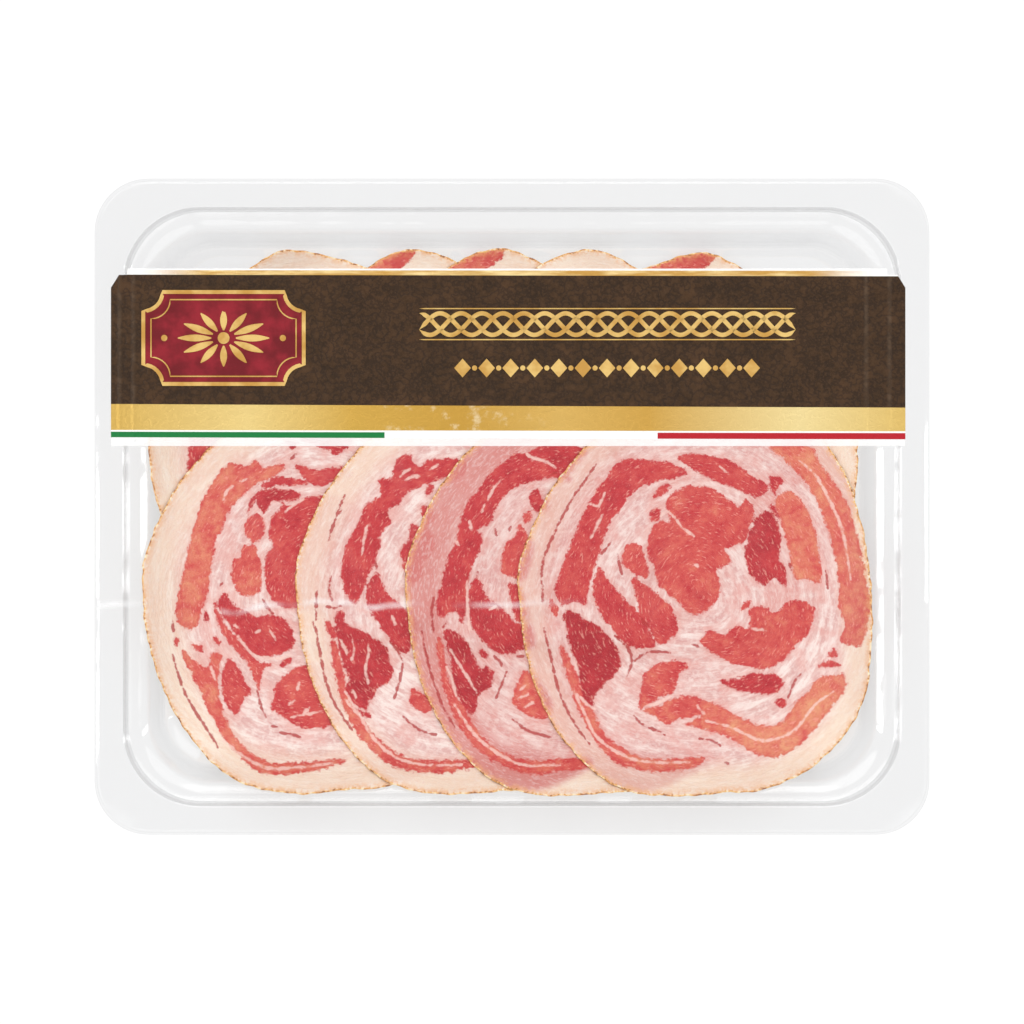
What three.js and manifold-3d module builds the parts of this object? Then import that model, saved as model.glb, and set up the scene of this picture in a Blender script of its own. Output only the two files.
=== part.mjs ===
// A sealed pack of sliced rolled pancetta, lying flat: a clear tray with a wide flange, nine slices
// in two shingled rows, a clear lid film and a printed label stuck across the film.
// Millimetres, +Z up, +X to the right of the pack and +Y to its back. The origin is on the surface
// that the tray stands on, under the middle of the flange.
import * as THREE from 'three';
import { mergeVertices } from 'three/addons/utils/BufferGeometryUtils.js';
import Module from 'manifold-3d';

const wasm = await Module();
wasm.setup();

// ---- Driving dimensions ----

// The outside of the flange, the height of its top, and the thickness of the formed sheet.
const TRAY = { length: 240, width: 188.6, height: 17.5, sheet: 0.6, cornerSteps: 7 };

// The tray's upper surface, as rounded rectangles from the floor outward: how far each lies inside
// the flange's edge, its height and its corner radius. The flange's edge is rolled down to a hem.
const RINGS = {
  floor: { inset: 22.7, z: TRAY.sheet, radius: 14.5 },
  wallFoot: { inset: 17.7, z: 3.2, radius: 16 },
  wallTop: { inset: 13.4, z: 9.5, radius: 18.6 },
  ledge: { inset: 10.2, z: 11.4, radius: 19.5 },
  ledgeBack: { inset: 9.3, z: 11.6, radius: 21.4 },
  drop: { inset: 8.8, z: 16.8, radius: 22 },
  mouth: { inset: 7.7, z: TRAY.height, radius: 22 },
  flange: { inset: 1.6, z: TRAY.height, radius: 13.9 },
  edge: { inset: 0, z: 15.9, radius: 15.5 },
  hem: { inset: 0, z: 15.6, radius: 15.5 },
};
const ROUND_STEPS = { floor: 4, ledge: 3, mouth: 3, edge: 3 };

// The lid film lies on the flange and sinks a little inside the mouth.
const FILM = {
  edge: { inset: 1.2, radius: 14.3 }, mouth: { inset: 8.4, radius: 22 }, innerRadius: 4,
  thickness: 0.25, gap: 0.08, sag: 0.9, sagWidth: 42, rings: 4,
};

// The label is a band across the film with a narrower strip along its back edge. Its ends lie on
// the flange, and its back corners are cut off.
const LABEL = {
  left: -115.1, right: 112.9, front: 17.4, back: 66.5,
  strip: { left: -110.5, right: 107.7, back: 68.3, ramp: 0.2 },
  corner: { along: 2.3, across: 3.7 },
  thickness: 0.22, gap: 0.12, step: 12, rows: 5,
};

// A slice is a thin limp sheet. Its surface bends with at most this much curvature (1/mm) where it
// comes down off what it lies on.
const SLICE = { thickness: 1.1, gap: 0.2, trayGap: 0.6, curvature: 0.075, rimSteps: 48, settle: 160 };

// The outline of a slice in the front row and of one in the rear row, from its centre. A front slice
// is a rounded square, and a rear one narrows to a nose at the back.
const FRONT_RIM = [
  [-51.5, 2], [-48.6, -20], [-40, -40], [-26, -53.6], [-9.9, -57.7], [7.5, -56.9], [21.3, -55.4],
  [37.6, -47], [48, -32], [50.9, -9.3], [49.3, 12.9], [43.8, 34.4], [31, 50], [6, 57.6], [-20, 52],
  [-39.4, 34.4], [-49.7, 14],
];
const REAR_RIM = [
  [0, 58], [-16, 52.2], [-33, 41], [-46, 22], [-51, -2], [-47, -24], [-33, -44], [-12, -56],
  [12, -56], [33, -44], [47, -24], [51, -2], [46, 22], [33, 41], [16, 52.2],
];

// Where each slice lies, from left to right, with its turn in degrees. Every slice lies on the one
// before it, and the front row lies on the rear row.
const REAR_ROW = [
  { x: -54.3, y: 17.6, turn: 13 },
  { x: -24.6, y: 16.9, turn: 6 },
  { x: -2.6, y: 16.9, turn: 2 },
  { x: 20.2, y: 16.7, turn: -3 },
  { x: 49.8, y: 16.1, turn: -7 },
];
const FRONT_ROW = [
  { x: -55.2, y: -24.8, turn: 0 },
  { x: -11.3, y: -25.1, turn: 0 },
  { x: 20.6, y: -25.5, turn: 0 },
  { x: 53.3, y: -25.6, turn: 0 },
];

// The lines of the height grid that all slices share: fine at the walls, coarse between them.
const GRID_X = gridLines([-110, -97, 97, 110], [4, 25, 4]);
const GRID_Y = gridLines([-87, -73, 73, 79], [5, 19, 3]);

const COLOURS = {
  clear: { color: 0xf1f4f5, roughness: 0.12, metalness: 0, transparent: true, opacity: 0.35 },
  film: { color: 0xffffff, roughness: 0.08, metalness: 0, transparent: true, opacity: 0.2 },
  label: { color: 0x4a382b, roughness: 0.4, metalness: 0 },
  meat: { color: 0xe39a92, roughness: 0.45, metalness: 0 },
  fat: { color: 0xf0cfc4, roughness: 0.45, metalness: 0 },
};

// ---- Meshes from rings and grids ----

// The positions of grid lines: each span between two stops is cut into equal cells.
function gridLines(stops, cells) {
  const lines = [stops[0]];
  cells.forEach((count, span) => {
    const step = (stops[span + 1] - stops[span]) / count;
    for (let k = 1; k <= count; k++) lines.push(stops[span] + k * step);
  });
  return lines;
}

// A rounded rectangle about the origin as a ring of points, anticlockwise from above.
function ringPoints({ inset, radius, z }) {
  const halfX = TRAY.length / 2 - inset - radius;
  const halfY = TRAY.width / 2 - inset - radius;
  const corners = [[halfX, halfY], [-halfX, halfY], [-halfX, -halfY], [halfX, -halfY]];
  return corners.flatMap(([x, y], quarter) => {
    const points = [];
    for (let k = 0; k <= TRAY.cornerSteps; k++) {
      const angle = (quarter + k / TRAY.cornerSteps) * Math.PI / 2;
      points.push([x + radius * Math.cos(angle), y + radius * Math.sin(angle), z]);
    }
    return points;
  });
}

function geometryOf(positions, indices) {
  const geometry = new THREE.BufferGeometry();
  geometry.setAttribute('position', new THREE.Float32BufferAttribute(positions, 3));
  geometry.setIndex(indices);
  return geometry;
}

// A closed solid through a list of rings, from the middle of its top face over the edge to the
// middle of its bottom face. Both ends are closed by a fan about the origin.
function loftSolid(rings) {
  const loops = rings.map(ringPoints);
  const count = loops[0].length;
  const positions = [[0, 0, rings[0].z], ...loops.flat(), [0, 0, rings.at(-1).z]].flat();
  const last = count * rings.length + 1;
  const indices = [];
  for (let k = 0; k < count; k++) {
    const next = (k + 1) % count;
    indices.push(0, 1 + k, 1 + next);
    for (let ring = 0; ring + 1 < rings.length; ring++) {
      const inner = 1 + ring * count;
      const outer = inner + count;
      indices.push(inner + k, outer + k, outer + next, inner + k, outer + next, inner + next);
    }
    indices.push(last, last - count + next, last - count + k);
  }
  return geometryOf(positions, indices);
}

// A closed sheet over a grid: pointAt(i, j) gives x, y and the two heights at each crossing.
function gridSolid(columns, rows, pointAt) {
  const positions = [];
  for (const face of ['top', 'bottom']) {
    for (let i = 0; i < columns; i++) {
      for (let j = 0; j < rows; j++) {
        const point = pointAt(i, j);
        positions.push(point.x, point.y, point[face]);
      }
    }
  }
  const under = columns * rows;
  const indices = [];
  const at = (i, j) => i * rows + j;
  for (let i = 0; i + 1 < columns; i++) {
    for (let j = 0; j + 1 < rows; j++) {
      const [a, b, c, d] = [at(i, j), at(i + 1, j), at(i + 1, j + 1), at(i, j + 1)];
      indices.push(a, b, c, a, c, d);
      indices.push(under + a, under + c, under + b, under + a, under + d, under + c);
    }
  }
  const wall = (a, b) => indices.push(a, under + a, under + b, a, under + b, b);
  for (let i = 0; i + 1 < columns; i++) {
    wall(at(i, 0), at(i + 1, 0));
    wall(at(i + 1, rows - 1), at(i, rows - 1));
  }
  for (let j = 0; j + 1 < rows; j++) {
    wall(at(columns - 1, j), at(columns - 1, j + 1));
    wall(at(0, j + 1), at(0, j));
  }
  return geometryOf(positions, indices);
}

function manifoldOf(geometry) {
  const bare = geometry.clone();
  bare.deleteAttribute('normal');
  bare.deleteAttribute('uv');
  const merged = mergeVertices(bare, 1e-4);
  return new wasm.Manifold(new wasm.Mesh({
    numProp: 3,
    vertProperties: Float32Array.from(merged.attributes.position.array),
    triVerts: Uint32Array.from(merged.index.array),
  }));
}

function geometryFrom(manifold) {
  const mesh = manifold.getMesh();
  return geometryOf(Array.from(mesh.vertProperties), Array.from(mesh.triVerts));
}

// ---- The tray ----

// Rings along a quarter ellipse from one ring to another. It leaves the first level and arrives
// steep, or with steepFirst the other way round.
function quarterRound(from, to, steps, steepFirst) {
  const points = [];
  for (let k = 1; k <= steps; k++) {
    const angle = (k / steps) * Math.PI / 2;
    const slow = 1 - Math.cos(angle);
    const fast = Math.sin(angle);
    const [across, up] = steepFirst ? [slow, fast] : [fast, slow];
    points.push({
      inset: THREE.MathUtils.lerp(from.inset, to.inset, across),
      z: THREE.MathUtils.lerp(from.z, to.z, up),
      radius: THREE.MathUtils.lerp(from.radius, to.radius, across),
    });
  }
  return points;
}

// The tray's upper surface from the floor outward and up to the hem, with its bends rounded.
function trayProfile() {
  const { floor, wallFoot, wallTop, ledge, ledgeBack, drop, mouth, flange, edge, hem } = RINGS;
  return [
    floor, ...quarterRound(floor, wallFoot, ROUND_STEPS.floor, false),
    wallTop, ...quarterRound(wallTop, ledge, ROUND_STEPS.ledge, true),
    ledgeBack, drop, ...quarterRound(drop, mouth, ROUND_STEPS.mouth, true),
    flange, ...quarterRound(flange, edge, ROUND_STEPS.edge, false), hem,
  ];
}

// The same profile moved down through the sheet, square to its own slope.
function underside(profile) {
  return profile.map((ring, k) => {
    const before = profile[Math.max(k - 1, 0)];
    const after = profile[Math.min(k + 1, profile.length - 1)];
    const run = before.inset - after.inset;
    const rise = after.z - before.z;
    const length = Math.hypot(run, rise);
    return {
      inset: ring.inset - TRAY.sheet * rise / length,
      z: ring.z - TRAY.sheet * run / length,
      radius: ring.radius,
    };
  });
}

const PROFILE = trayProfile();

function traySolid() {
  return loftSolid([...PROFILE, ...underside(PROFILE).reverse()]);
}

// How far a point lies inside a ring. It is negative outside it.
function insideBy(x, y, { inset, radius }) {
  const dx = Math.abs(x) - (TRAY.length / 2 - inset - radius);
  const dy = Math.abs(y) - (TRAY.width / 2 - inset - radius);
  return radius - Math.hypot(Math.max(dx, 0), Math.max(dy, 0)) - Math.min(Math.max(dx, dy), 0);
}

// The height of the tray's upper surface at a point, from the two rings on either side of it.
function trayHeight(x, y) {
  const outer = PROFILE.findIndex((ring) => insideBy(x, y, ring) >= 0);
  if (outer === 0) return PROFILE[0].z;
  if (outer < 0) return TRAY.height;
  const [a, b] = [PROFILE[outer - 1], PROFILE[outer]];
  const share = insideBy(x, y, a) / (insideBy(x, y, a) - insideBy(x, y, b));
  return a.z + (b.z - a.z) * share;
}

// ---- The lid film and the label ----

// How far the film has sunk at a given distance inside the mouth.
function sagAt(depth) {
  return FILM.sag * THREE.MathUtils.smoothstep(depth, 0, FILM.sagWidth);
}

function filmTop(x, y) {
  return TRAY.height + FILM.gap + FILM.thickness - sagAt(insideBy(x, y, FILM.mouth));
}

function filmSolid() {
  const rings = [];
  for (let k = FILM.rings; k >= 0; k--) {
    const depth = FILM.sagWidth * k / FILM.rings;
    rings.push({
      inset: FILM.mouth.inset + depth,
      radius: Math.max(FILM.mouth.radius - depth, FILM.innerRadius),
      z: TRAY.height + FILM.gap - sagAt(depth),
    });
  }
  rings.push({ ...FILM.edge, z: TRAY.height + FILM.gap });
  const upper = rings.map((ring) => ({ ...ring, z: ring.z + FILM.thickness }));
  return loftSolid([...upper, ...rings.reverse()]);
}

// The label's back edge: the cut corner, the band, and the narrower strip, each at its own x.
function labelStations() {
  const { left, right, back, corner, strip } = LABEL;
  const stations = [
    [left, back - corner.across],
    [left + corner.along, back],
    [strip.left, back],
    [strip.left + strip.ramp, strip.back],
  ];
  const count = Math.ceil((strip.right - strip.left) / LABEL.step);
  for (let k = 1; k < count; k++) {
    stations.push([THREE.MathUtils.lerp(strip.left, strip.right, k / count), strip.back]);
  }
  stations.push(
    [strip.right - strip.ramp, strip.back],
    [strip.right, back],
    [right - corner.along, back],
    [right, back - corner.across],
  );
  return stations;
}

function labelSolid() {
  const stations = labelStations();
  return gridSolid(stations.length, LABEL.rows + 1, (i, j) => {
    const [x, back] = stations[i];
    const y = THREE.MathUtils.lerp(LABEL.front, back, j / LABEL.rows);
    const bottom = filmTop(x, y) + LABEL.gap;
    return { x, y, bottom, top: bottom + LABEL.thickness };
  });
}

// ---- The slices ----

// A slice's outline where it lies, as a closed ring of points.
function outlineOf(rim, { x, y, turn }) {
  const curve = new THREE.CatmullRomCurve3(rim.map(([u, v]) => new THREE.Vector3(u, v, 0)), true);
  const angle = THREE.MathUtils.degToRad(turn);
  return curve.getSpacedPoints(SLICE.rimSteps).slice(0, -1).map((point) => {
    point.applyAxisAngle(new THREE.Vector3(0, 0, 1), angle);
    return new THREE.Vector2(point.x + x, point.y + y);
  });
}

// The distance from a point to an outline, negative inside it.
function distanceTo(outline, x, y) {
  let nearest = Infinity;
  let inside = false;
  outline.forEach((a, k) => {
    const b = outline[(k + 1) % outline.length];
    const [dx, dy] = [b.x - a.x, b.y - a.y];
    const share = THREE.MathUtils.clamp(((x - a.x) * dx + (y - a.y) * dy) / (dx * dx + dy * dy), 0, 1);
    nearest = Math.min(nearest, Math.hypot(a.x + share * dx - x, a.y + share * dy - y));
    if (a.y > y !== b.y > y && x < a.x + (y - a.y) / dy * dx) inside = !inside;
  });
  return inside ? -nearest : nearest;
}

// The size of the largest cell that touches a crossing of the grid.
function cellReach(i, j) {
  const widest = (lines, k) => Math.max(
    k > 0 ? lines[k] - lines[k - 1] : 0,
    k + 1 < lines.length ? lines[k + 1] - lines[k] : 0,
  );
  return Math.hypot(widest(GRID_X, i), widest(GRID_Y, j));
}

// The weight of each neighbour of a crossing in the sheet's bending, which is less for a far one.
function neighbours(i, j, covered) {
  const found = [];
  for (const [lines, k, step] of [[GRID_X, i, [1, 0]], [GRID_Y, j, [0, 1]]]) {
    const before = lines[k] - lines[k - 1];
    const after = lines[k + 1] - lines[k];
    const span = (before + after) / 2;
    for (const [side, distance] of [[-1, before], [1, after]]) {
      const [ni, nj] = [i + side * step[0], j + side * step[1]];
      if (covered[ni]?.[nj]) found.push({ i: ni, j: nj, weight: 1 / (span * distance) });
    }
  }
  return found;
}

// The underside of one slice over the grid: it rests on the tray and on the slices below it, and
// hangs between them with no more than the given curvature.
function drape(outline, below) {
  const covered = GRID_X.map((x, i) => GRID_Y.map((y, j) => distanceTo(outline, x, y) <= cellReach(i, j)));
  const support = GRID_X.map((x, i) => GRID_Y.map((y, j) => {
    const heights = below.filter((slice) => slice.covered[i][j])
      .map((slice) => slice.base[i][j] + SLICE.thickness + SLICE.gap);
    return Math.max(trayHeight(x, y) + SLICE.trayGap, ...heights);
  }));
  const base = support.map((column) => column.slice());
  for (let pass = 0; pass < SLICE.settle; pass++) {
    for (let i = 1; i + 1 < GRID_X.length; i++) {
      for (let j = 1; j + 1 < GRID_Y.length; j++) {
        if (!covered[i][j]) continue;
        const near = neighbours(i, j, covered);
        const weight = near.reduce((sum, n) => sum + n.weight, 0);
        const pull = near.reduce((sum, n) => sum + n.weight * base[n.i][n.j], 0);
        base[i][j] = Math.max(support[i][j], (pull - SLICE.curvature) / weight);
      }
    }
  }
  return { covered, base };
}

// The slab over the cells that the slice touches, cut to its outline.
function sliceSolid(outline, { covered, base }) {
  const used = (lines, touches) => {
    const hits = lines.map((_, k) => k).filter(touches);
    return [hits[0], hits.at(-1)];
  };
  const [i0, i1] = used(GRID_X, (i) => covered[i].some(Boolean));
  const [j0, j1] = used(GRID_Y, (j) => covered.some((column) => column[j]));
  const slab = gridSolid(i1 - i0 + 1, j1 - j0 + 1, (i, j) => {
    const bottom = base[i0 + i][j0 + j];
    return { x: GRID_X[i0 + i], y: GRID_Y[j0 + j], bottom, top: bottom + SLICE.thickness };
  });
  const cutter = new THREE.ExtrudeGeometry(new THREE.Shape(outline), {
    depth: 2 * TRAY.height, bevelEnabled: false, steps: 1,
  });
  cutter.translate(0, 0, -TRAY.height / 2);
  return geometryFrom(manifoldOf(slab).intersect(manifoldOf(cutter)));
}

// ---- The pack ----

function addMesh(group, name, geometry, colour) {
  const mesh = new THREE.Mesh(geometry, new THREE.MeshStandardMaterial(colour));
  mesh.name = name;
  group.add(mesh);
}

function slices() {
  const group = new THREE.Group();
  const below = [];
  for (const [row, rim, places] of [['rear', REAR_RIM, REAR_ROW], ['front', FRONT_RIM, FRONT_ROW]]) {
    places.forEach((place, k) => {
      const outline = outlineOf(rim, place);
      const slice = drape(outline, below);
      below.push(slice);
      const colour = row === 'rear' ? COLOURS.fat : COLOURS.meat;
      addMesh(group, `slice_${row}_${k + 1}`, sliceSolid(outline, slice), colour);
    });
  }
  return group;
}

const pack = new THREE.Group();
addMesh(pack, 'tray', traySolid(), COLOURS.clear);
pack.add(slices());
addMesh(pack, 'lid_film', filmSolid(), COLOURS.film);
addMesh(pack, 'label', labelSolid(), COLOURS.label);

export default pack;
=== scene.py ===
# A sealed pack of sliced rolled pancetta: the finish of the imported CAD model, its lights and its
# camera. Sizes are in millimetres, as in the model, and become metres where a mesh is made.
import math

import bpy
import numpy as np
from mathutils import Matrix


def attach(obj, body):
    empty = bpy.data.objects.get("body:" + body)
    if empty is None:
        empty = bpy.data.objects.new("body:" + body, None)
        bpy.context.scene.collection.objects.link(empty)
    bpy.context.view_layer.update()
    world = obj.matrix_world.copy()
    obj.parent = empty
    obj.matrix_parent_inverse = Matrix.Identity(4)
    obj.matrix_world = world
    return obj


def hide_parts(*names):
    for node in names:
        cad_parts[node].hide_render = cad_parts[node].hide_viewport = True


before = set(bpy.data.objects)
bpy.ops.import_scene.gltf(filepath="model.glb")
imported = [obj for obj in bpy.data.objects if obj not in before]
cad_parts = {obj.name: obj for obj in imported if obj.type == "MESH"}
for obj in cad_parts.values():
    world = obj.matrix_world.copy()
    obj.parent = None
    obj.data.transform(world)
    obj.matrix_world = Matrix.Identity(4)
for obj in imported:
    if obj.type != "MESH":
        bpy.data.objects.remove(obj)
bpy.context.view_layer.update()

MM = 0.001

# ---- Sizes shared with the model ----

TRAY_LENGTH, TRAY_WIDTH, TRAY_HEIGHT, SHEET = 240.0, 188.6, 17.5, 0.6

# The tray's upper surface, from the floor outward: inset from the flange's edge, height, radius.
FLOOR = (22.7, SHEET, 14.5)
WALL_FOOT = (18.8, 2.9, 15.8)
WALL_TOP = (15.4, 8.6, 18.0)
LEDGE = (10.2, 11.4, 19.5)
LEDGE_BACK = (9.3, 11.6, 21.4)
DROP = (8.8, 16.8, 22.0)
MOUTH = (7.7, TRAY_HEIGHT, 22.0)
FLANGE = (1.6, TRAY_HEIGHT, 13.9)
EDGE = (0.0, 15.9, 15.5)
HEM = (0.0, 15.6, 15.5)

FILM_EDGE = (1.2, 14.3)
FILM_MOUTH = (8.4, 22.0)
FILM_THICKNESS, FILM_GAP, FILM_SAG, SAG_WIDTH = 0.25, 0.08, 0.9, 42.0

LABEL_LEFT, LABEL_RIGHT, LABEL_FRONT, LABEL_BACK = -115.1, 112.9, 17.4, 66.5
STRIP_LEFT, STRIP_RIGHT, STRIP_BACK = -110.5, 107.7, 68.3
CORNER_ALONG, CORNER_ACROSS = 2.3, 3.7
LABEL_THICKNESS, LABEL_GAP = 0.22, 0.12

SLICE_THICKNESS, SLICE_GAP, TRAY_GAP, CURVATURE = 1.1, 0.2, 0.6, 0.075
FRONT_RIM = [
    (-51.5, 2), (-48.6, -20), (-40, -40), (-26, -53.6), (-9.9, -57.7), (7.5, -56.9), (21.3, -55.4),
    (37.6, -47), (48, -32), (50.9, -9.3), (49.3, 12.9), (43.8, 34.4), (31, 50), (6, 57.6), (-20, 52),
    (-39.4, 34.4), (-49.7, 14),
]
REAR_RIM = [
    (0, 58), (-16, 52.2), (-33, 41), (-46, 22), (-51, -2), (-47, -24), (-33, -44), (-12, -56),
    (12, -56), (33, -44), (47, -24), (51, -2), (46, 22), (33, 41), (16, 52.2),
]
# Where each slice lies, from left to right: x, y and its turn in degrees.
REAR_ROW = [(-54.3, 17.6, 13), (-24.6, 16.9, 6), (-2.6, 16.9, 2), (20.2, 16.7, -3), (49.8, 16.1, -7)]
FRONT_ROW = [(-55.2, -24.8, 0), (-11.3, -25.1, 0), (20.6, -25.5, 0), (53.3, -25.6, 0)]

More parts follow.
